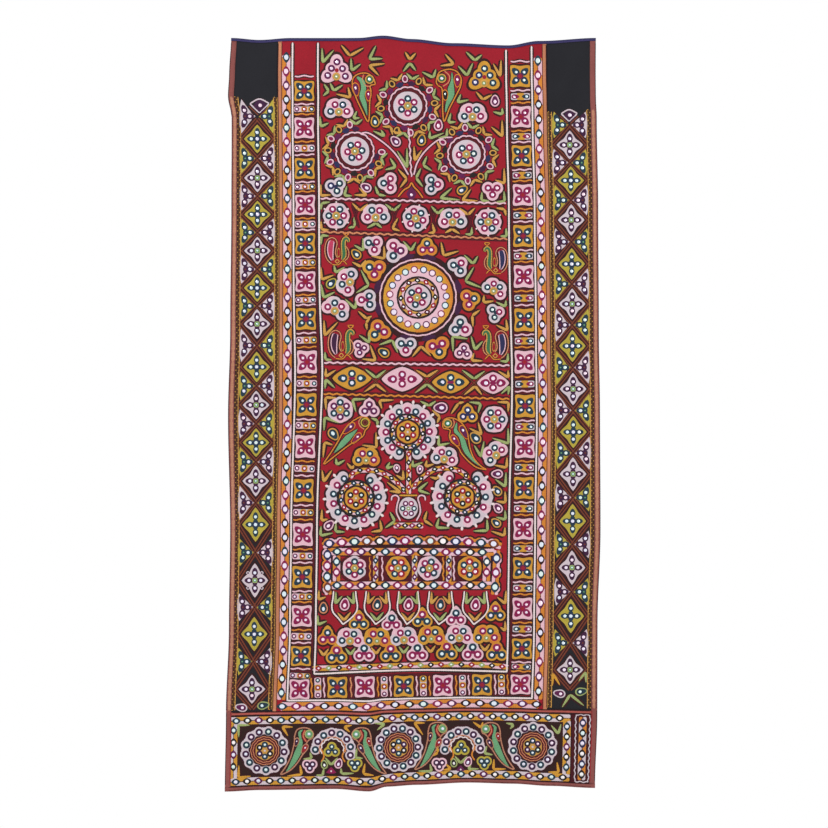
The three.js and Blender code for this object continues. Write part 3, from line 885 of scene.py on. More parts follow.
class Motifs:
    """The embroiderer's stock of flowers, leaves, drops and birds, each drawn about a centre."""

    EYE = 1.7
    RIM = 1.95
    SHADE = 1.8
    PETAL = 6.2
    HEEL = 0.9
    WARM = (MAGENTA, PURPLE, CRIMSON)
    FAN_BED = ((-4.8, -5.4, 8.2), (4.8, -5.4, 8.2), (0, -3.2, 7.8))

    def __init__(self, needle: Needlework) -> None:
        """Takes up a needle.

        Args:
            needle: what the motifs are worked with.
        """
        self.needle = needle

    def mirror_band(self, path: Array, pitch: float, width: float, upper: Thread, lower: Thread,
                    rims: Sequence[Thread], eye: float, start: float | None = None,
                    slim: float = 0.76) -> None:
        """Mirrors in a row, the cells between them filled in two colours that change over at each mirror.

        Args:
            path: chart places along the row.
            pitch: distance between mirrors in chart squares.
            width: the row's width in chart squares.
            upper, lower: the fills on the two sides of the row.
            rims: the rims' threads in turn.
            eye: the mirrors' radius in chart squares.
            start: where the first mirror lies along the path; half a pitch when left out.
            slim: width over length of the rims.
        """
        needle = self.needle
        path = np.asarray(path, float)
        # Dark row under the band: partly outline stitching, partly painted shade round it.
        needle.line(DARK, path, width + 2.6, lift=BED, rise=0.2)
        ends = np.concatenate([path[:1], stepped(path, pitch, start), path[-1:]])
        for k, (a, b) in enumerate(zip(ends[:-1], ends[1:])):
            way = (b - a) / max(np.hypot(*(b - a)), 1e-9)
            across = np.array([-way[1], way[0]]) * width / 4
            a_end, b_end = a - 0.8 * way, b + 0.8 * way
            for hand, thread in ((1, upper), (-1, lower)):
                shift = across * hand * (1 if k % 2 else -1)
                needle.line(thread, np.stack([a_end + shift, b_end + shift]), width / 2, lift=FACE + 0.08,
                            rise=0.4)
            if k:
                turn = float(np.degrees(np.arctan2(way[1], way[0])))
                rim = rims[k % len(rims)]
                needle.pad(rim, *a, Outline(1.25 * eye + 1.7, tall=slim, turn=turn, power=1.5), LOW + 0.2,
                           0.12)
                needle.mirror(*a, 0.92 * eye, rim, width=0.1 * eye + 0.45, tall=slim + 0.16, turn=turn)

    def cluster(self, places: Places, rims: Sequence[Thread], gold: bool = False,
                reach: float = PETAL, eye: float = EYE, extra: Sequence[tuple[float, float, float]] = (),
                cool: Thread = LILAC, warm: Thread = PINK) -> None:
        """Rimmed mirrors with a pale lobe round each, over a darker edge.

        Args:
            places: the mirrors' centres on the chart.
            rims: the rims' threads in turn.
            gold: whether the lobes are gold and orange.
            reach: the lobes' radius in chart squares.
            eye: the mirrors' radius in chart squares.
            extra: u, v and radius of further plain lobes.
            cool, warm: the lobes' threads round blue rims and round red ones.
        """
        needle = self.needle
        if gold:
            cool, warm = GOLD, ORANGE
        for k, (u, v) in enumerate(places):
            rim = rims[k % len(rims)]
            needle.bed(u, v, Outline(reach + self.SHADE))
            needle.pad(warm if rim in self.WARM else cool, u, v, Outline(reach), FACE + 0.02 * (k % 4))
            needle.mirror(u, v, eye, rim, self.RIM * eye / self.EYE)
        for u, v, size in extra:
            needle.bed(u, v, Outline(size + self.SHADE))
            needle.pad(cool if gold else warm, u, v, Outline(size), FACE - 0.02)

    def heart(self, u: float, v: float) -> None:
        """A flower's middle: a small mirror in a green rim inside a raised tan ring."""
        self.needle.mirror(u, v, 0.95, GREEN, width=1.2)
        self.needle.ring(TAN, u, v, Outline(4.1), 1.8, 1.8, 0.5)

    @staticmethod
    def rims_for(gold: bool, rims: Sequence[Thread] | None) -> Sequence[Thread]:
        """The rims asked for, or the usual ones for a gold or a pink flower."""
        return rims or ((TEAL, CRIMSON) if gold else (MAGENTA, TEAL))

    def blossom(self, u: float, v: float, gold: bool = False, count: int = 6, orbit: float = 7.4,
                turn: float = 0.0, rims: Sequence[Thread] | None = None) -> None:
        """A round flower with mirrors in a ring about its middle."""
        places = [turned(u, v, turn + 360 * k / count, orbit) for k in range(count)]
        self.cluster(places, self.rims_for(gold, rims), gold, 6.3, extra=((u, v, orbit + 5.8),))
        self.heart(u, v)

    def fan(self, u: float, v: float, turn: float = 0.0, gold: bool = False, size: float = 1.0,
            rims: Sequence[Thread] | None = None) -> None:
        """A half flower with four mirrors over its middle, opening downwards until it is turned."""
        places = [turned(u, v, turn + way, 8.1 * size) for way in (183, 243, 300, 357)]
        self.cluster(places, rims or (TEAL, MAGENTA), gold, 6.8 * size, self.EYE * size,
                     extra=[(*turned(u, v, turn, x * size, y * size), radius * size) for x, y,
                            radius in self.FAN_BED])
        self.heart(u, v)

    def triple(self, u: float, v: float, turn: float = 0.0, gold: bool = False, size: float = 1.0,
               rims: Sequence[Thread] | None = None, peak: float = 0.0, reach: float = 5.6,
               fill: Thread | None = None, eye: float = 0.0) -> None:
        """Three mirrors in a heart-shaped patch.

        Args:
            u, v: its centre on the chart.
            turn: degrees that its single lobe is turned from upright.
            gold: whether it is gold and orange.
            size: its size.
            rims: the rims' threads in turn.
            peak: radius of a further lobe that draws the single lobe out, none if zero.
            reach: the lobes' radius at size 1.
            fill: one thread for all lobes.
            eye: the mirrors' radius, by the size if zero.
        """
        places = [turned(u, v, turn, x * size, y * size) for x, y in ((0, -4.2), (4.5, 2.4), (-4.5, 2.4))]
        extra = [(*turned(u, v, turn, 0, -0.8 * size), (reach + 1.3) * size)]
        if peak:
            extra.append((*turned(u, v, turn, 0, -7.4 * size), peak))
            extra.append((*turned(u, v, turn, 0, -9.6 * size), 0.55 * peak))
        rims = (TEAL,) if gold and not rims else self.rims_for(gold, rims)
        shades = {"cool": fill, "warm": fill} if fill else {}
        self.cluster(places, rims, gold and not fill, reach * size, eye or self.EYE * size, extra=extra,
                     **shades)
        self.needle.pad(rims[-1], u, v - 0.2, Outline(2.4 * size), LOW, 0.45)

    def tall_heart(self, u: float, v: float, turn: float = 0.0, gold: bool = False) -> None:
        """A pointed heart with five mirrors on its two sides and a flower's middle below."""
        needle = self.needle
        spots = ((0, -10), (-5.5, -3.5), (5.5, -3.2), (-9.2, 3.6), (8.4, 4.4))
        body = turned(u, v, turn, -0.4, -0.6)
        shape = Outline(12.9, turn=turn - 90, lobes=3, depth=0.36)
        needle.bed(*body, shape._replace(size=shape.size + self.SHADE))
        needle.pad(GOLD if gold else PINK, *body, shape, FACE - 0.02)
        places = [turned(u, v, turn, *spot) for spot in spots]
        self.cluster(places, (TEAL, NAVY) if gold else (PURPLE,), gold, 6.3)
        needle.pad(CRIMSON, *turned(u, v, turn, -0.2, -1.6), Outline(2.4), LOW, 0.4)
        self.heart(*turned(u, v, turn, -0.6, 4.6))

    def drop(self, u: float, v: float, turn: float, edge: Thread, fill: Thread, size: float = 5.0) -> None:
        """A pointed drop with a pale edge and a mirror."""
        needle = self.needle
        needle.bed(u, v, Outline(size + 1.7, tall=0.92, turn=turn, point=0.42))
        needle.pad(fill, u, v, Outline(size - 0.8, tall=0.92, turn=turn, point=0.42), FACE + 0.1, 0.4)
        needle.ring(edge, u, v, Outline(size, tall=0.92, turn=turn, point=0.42), 1.4, FACE + 0.15, 0.7)
        needle.mirror(u, v, 0.42 * size, fill, width=0.8, tall=0.74, turn=turn)

    def loop(self, u: float, v: float, turn: float, edge: Thread, fill: Thread) -> None:
        """A small open petal."""
        self.needle.bed(u, v, Outline(4.9, tall=0.85, turn=turn))
        self.needle.pad(fill, u, v, Outline(2.3, tall=0.82, turn=turn), FACE + 0.05, 0.35)
        self.needle.ring(edge, u, v, Outline(3.7, tall=0.84, turn=turn, point=0.12), 1.5, FACE + 0.15, 0.6)

    def leaf(self, thread: Thread, start: Sequence[float], end: Sequence[float], width: float = 3.3) -> None:
        """A leaf from root to tip, its width going as (1 - t)^0.45 * min(1, 0.45 + 3t)."""
        t = np.linspace(0, 1, 8)
        path = np.asarray(start, float) + (np.asarray(end, float) - np.asarray(start, float)) * t[:, None]
        wide = width * np.maximum(1 - t, 0.02) ** 0.45 * np.minimum(1, 0.45 + 3 * t)
        # Dark row beside the leaf: partly outline stitching, partly painted shade round it.
        self.needle.line(DARK, path, wide + 3.8, lift=UNDER, rise=0.1)
        self.needle.line(thread, path, np.maximum(wide, 0.5), lift=FACE + 0.12, rise=0.6)

    def vees(self, thread: Thread, *pairs: Sequence[float]) -> None:
        """Pairs of leaves, each given by u and v of one tip, of the root and of the other tip."""
        for tip_u, tip_v, root_u, root_v, other_u, other_v in pairs:
            root, tips = np.array([root_u, root_v]), np.array([(tip_u, tip_v), (other_u, other_v)])
            ways = tips - root
            middle = (ways / np.hypot(*ways.T)[:, None]).sum(0)
            heel = root - self.HEEL * middle / max(np.hypot(*middle), 0.1)
            for tip in tips:
                self.leaf(thread, heel, tip)

    def roundel(self, u: float, v: float, radius: float = 18.2, loops: int = 12, skip: Sequence[int] = (),
                turn: float = 0.0, spin: float = -90.0) -> None:
        """A flower in a scalloped pink ring, with small petals and pairs of leaves about it.

        Args:
            u, v: its centre on the chart.
            radius: the pink ring's radius in chart squares.
            loops: number of small petals.
            skip: the petals left out, by number.
            turn: where the first petal stands, in degrees.
            spin: where the flower's first mirror stands, in degrees.
        """
        needle = self.needle
        needle.line(MAROON, round_path(u, v, radius - 2.6), 3.4, rise=0.2, closed=True)
        needle.pad(LILAC, u, v, Outline(14.6), FACE + 0.01)
        self.blossom(u, v, orbit=7.2, turn=spin, rims=(TEAL, MAGENTA))
        needle.cord(PINK, round_path(u, v, radius, 16, 0.9), 1.5, 2, closed=True)
        small = (NAVY, PLUM, BLACK, PURPLE)
        for k in set(range(loops)) - set(skip):
            way = turn + 360 * k / loops
            mid = way + 180 / loops
            edge, fill = (PINK, MAGENTA) if k % 2 else (TAN, BLACK)
            self.loop(*turned(u, v, way, radius + 8.6), way, edge, fill)
            needle.pad(small[k % 4], *turned(u, v, mid, radius + 4.2),
                       Outline(2.9, tall=1.5, power=1.3, turn=mid), rise=0.35)
            self.vees(GREEN if k % 2 else TAN, (
                *turned(u, v, mid, radius + 14, -6.6), *turned(u, v, mid, radius + 9.6),
                *turned(u, v, mid, radius + 14, 6.6)))

    def rosette(self, u: float, v: float, fill: Thread, rims: Sequence[Thread], orbit: float = 6.3,
                margin: float = 4.8) -> None:
        """A small flower with six tiny mirrors, one at the top."""
        needle = self.needle
        needle.pad(fill, u, v, Outline(orbit + margin, lobes=6, depth=0.03, turn=-90))
        for k in range(6):
            needle.mirror(*turned(u, v, 60 * k - 90, orbit), 1.35, rims[k % len(rims)], width=1.8)
        needle.pad(TAN, u, v, Outline(3.6), LOW, 0.8)
        needle.pad(LILAC, u, v, Outline(1.4), HIGH + 0.3, 0.5)

    def wheel(self, u: float, v: float, orbit: float, first: float, pitch: float, count: int,
              beaded: bool = True) -> None:
        """A wheel of mirrors in pale lobes with knots between them, about a ring and a gold flower.

        Args:
            u, v: its centre on the chart.
            orbit: the mirrors' distance from it.
            first: where the first mirror stands, in degrees.
            pitch: degrees from one mirror to the next.
            count: number of mirrors.
            beaded: whether the ring holds tiny mirrors, or is a pair of salmon cords.
        """
        needle = self.needle
        outer = orbit + (2.4 if beaded else 0.8)
        sweep = pitch * (count - 1)
        rims = (TEAL, MAGENTA) if beaded else (PLUM, TEAL)
        fills = (LILAC, PINK) if beaded else (LILAC,)
        knot, stand, size = (WHITE, 8.5, 1.9) if beaded else (PLUM, 4.6, 0.8)
        full = sweep + pitch > 355
        bed = round_path(u, v, orbit + (1.9 if beaded else 0.8), start=first, sweep=360 if full else sweep)
        # Dark bed under the lobes: partly outline stitching, partly painted shade round them.
        needle.line(DARK, bed, 14.6 if beaded else 11.4, lift=BED, rise=0.15, closed=full)
        needle.line(fills[0], bed, 12.4 if beaded else 8.8, lift=FACE - 0.02, rise=0.45, closed=full)
        for k in range(count):
            way = first + pitch * k
            lobe = turned(u, v, way, outer)
            reach = 5.6 if beaded else 5
            needle.bed(*lobe, Outline(reach + self.SHADE))
            needle.pad(fills[k % len(fills)], *lobe, Outline(reach), FACE + 0.02 * (k % 4))
            needle.mirror(*turned(u, v, way, orbit), self.EYE, rims[k % len(rims)], self.RIM)
            between = way + 0.5 * pitch
            if full or k < count - 1:
                place = turned(u, v, between, orbit + stand)
                needle.pad(knot, *place, Outline(size, tall=0.7, turn=between), LOW, 0.5)
        if beaded:
            for radius in (18, 12.4):
                needle.line(BLACK, round_path(u, v, radius), 1.8, lift=FACE + 0.35, closed=True)
            ring = round_path(u, v, 15.2, start=first, sweep=359)
            self.mirror_band(ring, 7.9, 4.4, TAN, PINK, (BLACK, CRIMSON, TEAL), 1.15)
            self.rosette(u, v, GOLD, (CRIMSON, BLACK))
        else:
            needle.line(MAROON, round_path(u, v, 12.4), 5.4, lift=FACE + 0.1, rise=0.3, closed=True)
            for radius in (11.2, 13.5):
                needle.line(SALMON, round_path(u, v, radius, 13, 0.6), 0.8, LOW, closed=True)
            self.rosette(u, v, TAN, (TEAL, PLUM, BLACK), 6, 3.5)

    def bird_line(self, thread: Thread, u: float, v: float, facing: int,
                  places: Places,
                  width: float | Array, scale: float = 1.0, lift: float = FACE + 0.15,
                  rise: float = 0.6) -> None:
        """A smooth row through places about (u, v), for a bird that faces right (1) or left (-1)."""
        path = curve(*[(u + facing * scale * x, v + scale * y) for x, y in places])
        if np.ndim(width):
            width = np.interp(np.linspace(0, 1, len(path)), np.linspace(0, 1, len(width)), width)
        self.needle.line(thread, path, width, lift=lift, rise=rise)

    def parrot(self, u: float, v: float, facing: int = 1, shape: BirdShape = UPRIGHT, scale: float = 1.0,
               lean: float = 0.0) -> None:
        """A parrot: an outline from beak to long tail, a green back, a ringed eye and two drops for wings.

        Args:
            u, v: its eye on the chart.
            facing: 1 to the right, -1 to the left.
            shape: its form.
            scale: its size.
            lean: degrees that its tail swings further back.
        """
        needle = self.needle
        edge, collar, spine = ([turned(0, 0, lean, x, y) for x, y, *_ in places]
                               for places in (shape.edge, shape.collar, shape.back))
        wide = np.array([place[2] for place in shape.back]) * scale
        # Dark rows under the outline and the back: partly outline stitching, partly painted shade round them.
        self.bird_line(DARK, u, v, facing, edge, 3.4, scale, UNDER, 0.1)
        self.bird_line(shape.edge_thread, u, v, facing, edge, 1.3, scale)
        self.bird_line(DARK, u, v, facing, spine, wide + 1.8, scale, UNDER, 0.1)
        self.bird_line(PARROT, u, v, facing, spine, wide, scale)
        if shape is SLANTED:
            self.bird_line(CRIMSON, u, v, facing, collar, 2.8, scale, FACE + 0.1, 0.4)
        self.bird_line(SALMON, u, v, facing, collar, 1.1, scale, LOW)
        ringed, pupil = shape.eye
        # Dark patch round the eye: partly outline stitching, partly painted shade.
        needle.pad(DARK, u, v, Outline(5.6 * scale), BED, 0.2)
        needle.ring(ringed, u, v, Outline(4.7 * scale), 1.4, FACE + 0.15)
        if pupil is MAROON:
            needle.pad(BROWN, u, v, Outline(2.9 * scale), FACE + 0.1, 0.4)
            needle.pad(pupil, u, v, Outline(1.6 * scale), LOW, 0.4)
        else:
            needle.mirror(u, v, 1.6 * scale, pupil, width=1.5 * scale)
        fills = [wing[-1] for wing in shape.wings][::-1 if shape is SLANTED and facing < 0 else 1]
        for (x, y, size, way, _), fill in zip(shape.wings, fills):
            pu, pv = turned(u, v, lean * facing, facing * x * scale, y * scale)
            way = 90 + facing * (way + lean - 90)
            wing = Outline(size * scale, tall=0.6, turn=way, point=shape.drawn_out)
            needle.pad(fill, pu, pv, wing, LOW, 0.4)
            needle.ring(shape.edge_thread, pu, pv, wing._replace(size=(size + 1.2) * scale, tall=0.68), 1.1,
                        LOW)
            needle.mirror(pu, pv, 0.36 * size * scale, fill, width=0.6, tall=0.7, turn=way)

    def peacock(self, u: float, v: float, facing: int, tail: Thread, scale: float = 1.0) -> None:
        """A peacock: a hooked green neck, a paisley tail, a thin leaf between them, a crest and a foot.

        Args:
            u, v: its middle on the chart.
            facing: 1 to the right, -1 to the left.
            tail: the tail's fill.
            scale: its size.
        """
        plume = ((-5.8, -10.4), (-7, -5.6), (-7.5, -0.4), (-7, 5.2), (-5.4, 10.4))
        around = ((0, 8), (-2, 3.6), (-1.7, -1.5), (-0.4, -7.2), (-2, -11.8), (-6.2, -13.6), (-10.6, -11),
                  (-12.8, -5.6), (-13.2, 1.8), (-11.6, 8), (-8.6, 12), (-6, 13.7))
        neck = ((11.6, -8.8), (11, -11.8), (8.4, -12.8), (6.4, -9.6), (6.2, -4), (6.8, 1.6), (6.6, 6),
                (4.8, 9.8))
        breast = ((8.6, -5), (11.4, -0.6), (12, 4.2), (10.6, 8.2), (7.6, 10.8))
        foot = ((10.2, 14.8), (5.6, 10.8), (1.2, 14.8), (-6, 14.6))
        crest = ((9.2, -15.4), (12, -18.4), (6.4, -18.4), (9.2, -15.4))
        # Dark rows under each part: partly outline stitching, partly painted shade round them.
        for path, width in ((plume, 9.4), (around, 2.6), (neck, 7), (breast, 2.4), (foot, 2.4), (crest, 2.2)):
            self.bird_line(DARK, u, v, facing, path, width * scale, scale, UNDER, 0.1)
        for path, fill, edge, widths in ((plume, tail, PINK, (4, 5, 5, 3.9, 1)),
                                         (neck, FERN, TAN, (1, 2.2, 2.8, 3.2, 3.4, 3.7, 3.6, 1.4))):
            wide = np.array(widths) * scale
            self.bird_line(edge, u, v, facing, path, wide + 1.8 * scale, scale, FACE + 0.15, 0.5)
            self.bird_line(fill, u, v, facing, path, wide, scale, LOW + 0.1)
        for path, thread in ((around, SALMON), (breast, SALMON), (foot, ORANGE), (crest, ORANGE)):
            self.bird_line(thread, u, v, facing, path, 1.15 * scale, scale)
        for x, y, shape in ((1.2, 2.6, Outline(4.6 * scale, tall=0.4, turn=-90, point=0.2)),
                            (-0.2, 11.4, Outline(2.8 * scale, power=1.1))):
            self.needle.ring(TAN, u + facing * scale * x, v + scale * y, shape, 0.95, FACE + 0.15, 0.5)


@dataclass
class Work:
    """One part of the embroidery, with the needle and the stock of motifs that it is worked with."""

    needle: Needlework
    motifs: Motifs = field(init=False)

    def __post_init__(self) -> None:
        """Takes up the stock of motifs."""
        self.motifs = Motifs(self.needle)


@dataclass
class BorderWork(Work):
    """The red panel's border: couched white frames, strips of mirrors, and squares with four petals."""

    left_squares: tuple[float, ...] = (
        91, 128, 168.5, 205, 243.5, 281.5, 319, 362, 404.7, 446.5, 490.5, 534.5, 577, 616, 656, 689.2)
    right_squares: tuple[float, ...] = (
        76.5, 117, 156, 195, 236, 276.5, 320, 362, 406, 447, 488, 529, 568, 608.5, 648.7, 684.4)
    bottom_squares: tuple[float, ...] = (298.4, 337.3, 364.8, 403.7, 443, 482, 521)
    square: float = 10.2
    strip_width: float = 8.4
    mirror: float = 3.0

    def work(self) -> None:
        """Works the whole border."""
        cloth = self.needle.cloth
        self.frame(*cloth.outer_frame, swells=(1.5, 0))
        self.needle.line(NAVY, cloth.chart(np.linspace(-355, 355, 120), 2), 1.4, lift=2.2, rise=0.4)
        across, down = cloth.inner_frame
        self.frame(across, down, curve(
            (321, 673.8), (354, 672.1), (390, 670.6), (425, 669.9), (460, 670.4), (506, 671.6)),
            swells=(2.8, 1.5))
        rims = (DARK, TEAL, MAGENTA, PURPLE, DARK)
        strips = [(cloth.chart(np.linspace(-247, 247, 40), 1294), 14.14, 1)]
        for across, first, pitch in ((-247, 57.4, 14.12), (247, 60.9, 14.66)):
            path = cloth.chart(across, np.linspace(12, 1296, 400))
            path = path[(path[:, 1] > first - 2.6) & (path[:, 1] < 699)]
            strips.append((path, pitch, first - path[0, 1]))
        for path, pitch, start in strips:
            self.motifs.mirror_band(path, pitch, self.strip_width, ORANGE, PINK, rims, self.mirror, start,
                                    slim=0.65)
        for side, heights in ((-1, self.left_squares), (1, self.right_squares)):
            spine = cloth.chart(-212.2 if side < 0 else 212.4, np.linspace(0, 1300, 60))
            spine[:, 0] += self.swell(spine, 1.6 if side < 0 else 0)
            self.run([(at_height(spine, v), v) for v in heights], 0)
        self.run([(u, 688 - 0.0175 * (u - 298.4)) for u in self.bottom_squares], 90)

    @staticmethod
    def swell(path: Array, reach: float) -> Array:
        """How far a row strays to the right near its middle height, as a bell of the given reach."""
        return reach * np.exp(-((path[:, 1] - 370) / 52) ** 2)

    def frame(self, across: float, down: float, foot: Array | None = None,
              swells: tuple[float, float] = (0, 0)) -> None:
        """A white cord couched down both sides and along the bottom, with a dark line on each side of it.

        Args:
            across, down: how far it reaches from the top edge's middle, in millimetres.
            foot: chart places along its bottom, level with down when left out.
            swells: how far its left and right sides stray near their middle, in chart squares.
        """
        cloth = self.needle.cloth
        if foot is None:
            foot = cloth.chart(np.linspace(-across, across, 40)[1:-1], down)
        left, right = (cloth.chart(side * across, np.linspace(9, down + 20, 60)) for side in (-1, 1))
        left[:, 0] += self.swell(left, swells[0])
        right[:, 0] += self.swell(right, swells[1])
        low, high = foot[0, 1], foot[-1, 1]
        path = np.concatenate([
            left[left[:, 1] < low - 1], [(at_height(left, low), low)], foot,
            [(at_height(right, high), high)], right[right[:, 1] < high - 1][::-1]])
        self.needle.line(BLACK, path, 4.4, lift=FACE + 0.1, rise=0.3)
        self.needle.line(WHITE, path, 1.7, lift=FACE + 0.25, rise=0.9)

    def run(self, places: Places, turn: float) -> None:
        """Squares in gold and pink by turns, with wavy lines and a bar of tiny mirrors between them."""
        first_gold = turn == 0
        spans = np.hypot(*np.diff(np.array(places), axis=0).T)
        room = (np.append(spans, spans[-1]) + np.append(spans[0], spans)) / 2
        tall = np.clip(room / 36.8, 1, 1.16) if turn == 0 else np.full(len(places), 1.06)
        half = self.square * (tall if turn == 0 else np.ones(len(places)))
        self.needle.line(MAROON, np.array(places), 2 * self.square + 5.6, lift=FACE + 0.01, rise=0.15)
        for k, (u, v) in enumerate(places):
            gold = (k % 2 == 0) == first_gold
            if turn == 0 or 0 < k < len(places) - 1:
                self.square_motif(u, v, gold, float(tall[k]))
            if k + 1 < len(places):
                self.between(np.array((u, v)), np.array(places[k + 1]), gold, half[k:k + 2])
        if turn == 0:
            u, v = places[0]
            self.needle.cord(PINK, wavy((u - 9.6, v - 14.8), (u + 9.6, v - 14.8), 0.6, 1.5), 1.5, 2.4)

    def square_motif(self, u: float, v: float, gold: bool, tall: float) -> None:
        """A square pad with four pointed petals set cornerwise, a mirror in each, and a red heart."""
        needle = self.needle
        fill, petal, heart = (GOLD, TEAL, PURPLE) if gold else (PINK, MAGENTA, MAGENTA)
        # Dark patch round the square: partly outline stitching, partly painted shade.
        needle.pad(DARK, u, v, Outline(self.square + 0.9, tall=tall, power=14), FACE + 0.05, 0.2)
        needle.pad(fill, u, v, Outline(self.square, tall=tall, power=12, lobes=4, depth=-0.04), rise=0.35)
        for quarter in range(4):
            way = 45 + 90 * quarter
            pu, pv = turned(u, v, way, 5.6)
            needle.pad(petal, pu, pv, Outline(3.8, tall=0.9, turn=way, point=0.45), LOW + 0.05, 0.35)
            needle.pad(heart, *turned(u, v, way, 2.6), Outline(2.1), LOW + 0.05, 0.35)
            needle.mirror(pu, pv, 1.45, petal, width=1.2)
        needle.pad(CRIMSON, u, v, Outline(2.4, power=1.2, tall=1), HIGH + 0.1, 0.2)

    def between(self, a: Array, b: Array, gold_first: bool, halves: Array) -> None:
        """Between two squares: a wavy line, a bar with three tiny mirrors (two on the right), a wavy line.

        A narrow gap has one wavy line before the bar, and the narrowest only the line.

        Args:
            a, b: the middles of the squares.
            gold_first: whether the first one is gold.
            halves: how far each square reaches towards the other.
        """
        needle = self.needle
        span = float(np.hypot(*(b - a)))
        way = (b - a) / span
        tilt = float(np.degrees(np.arctan2(way[1], way[0]))) - 90
        start, end = halves[0], span - halves[1]
        gap = end - start
        reach = self.square - 0.2
        lines = [(start + 3, PINK), (end - 3, ORANGE)]
        if not gold_first:
            lines = [(start + 3, ORANGE), (end - 3, PINK)]
        if gap < 14:
            lines = [(start + 2.6, lines[0][1])] if gap > 9 else [(0.5 * (start + end), SALMON)]
        for place, thread in lines:
            ends = [turned(*(a + way * place), tilt, sign * reach) for sign in (-1, 1)]
            needle.cord(thread, wavy(*ends, 0.55, 2), 1.5, 2)
        if gap < 9:
            return
        deep = min(3.5, max(2.6, 0.5 * gap - 5.2))
        mid = a + way * (0.5 * (start + end) if gap > 14 else end - deep - 0.8)
        # Dark patch round the bar: partly outline stitching, partly painted shade.
        needle.pad(DARK, *mid, Outline(reach + 0.6, tall=(deep + 0.9) / reach, power=9, turn=tilt), rise=0.25)
        needle.pad(LILAC, *mid, Outline(reach, tall=deep / reach, power=9, turn=tilt), rise=0.35)
        if a[0] > 480 and abs(tilt) < 45:
            needle.pad(GOLD, *mid, Outline(4.4, tall=deep / 4.4, power=6, turn=tilt), LOW - 0.1, 0.25)
            for side, rim in zip((-1, 1) if gold_first else (1, -1), (MAGENTA, TEAL)):
                eye = turned(*mid, tilt, side * 6.1)
                needle.pad(rim, *eye, Outline(2.9, tall=0.82, turn=tilt + 90 * (1 + side), point=0.7),
                           LOW + 0.2, 0.3)
                needle.mirror(*eye, 1.45, rim, width=0.9)
            return
        for k, fill in ((-1, PINK), (0, GOLD), (1, GOLD if gold_first else PINK)):
            needle.pad(fill, *turned(*mid, tilt, k * 6.8),
                       Outline(3.4, tall=deep / 3.5, power=6, turn=tilt), LOW - 0.1, 0.25)
        for k, rim in zip((-1, 0, 1), (PURPLE, CRIMSON, TEAL)):
            needle.mirror(*turned(*mid, tilt, k * 7.4), 1.3, rim, width=1.1)


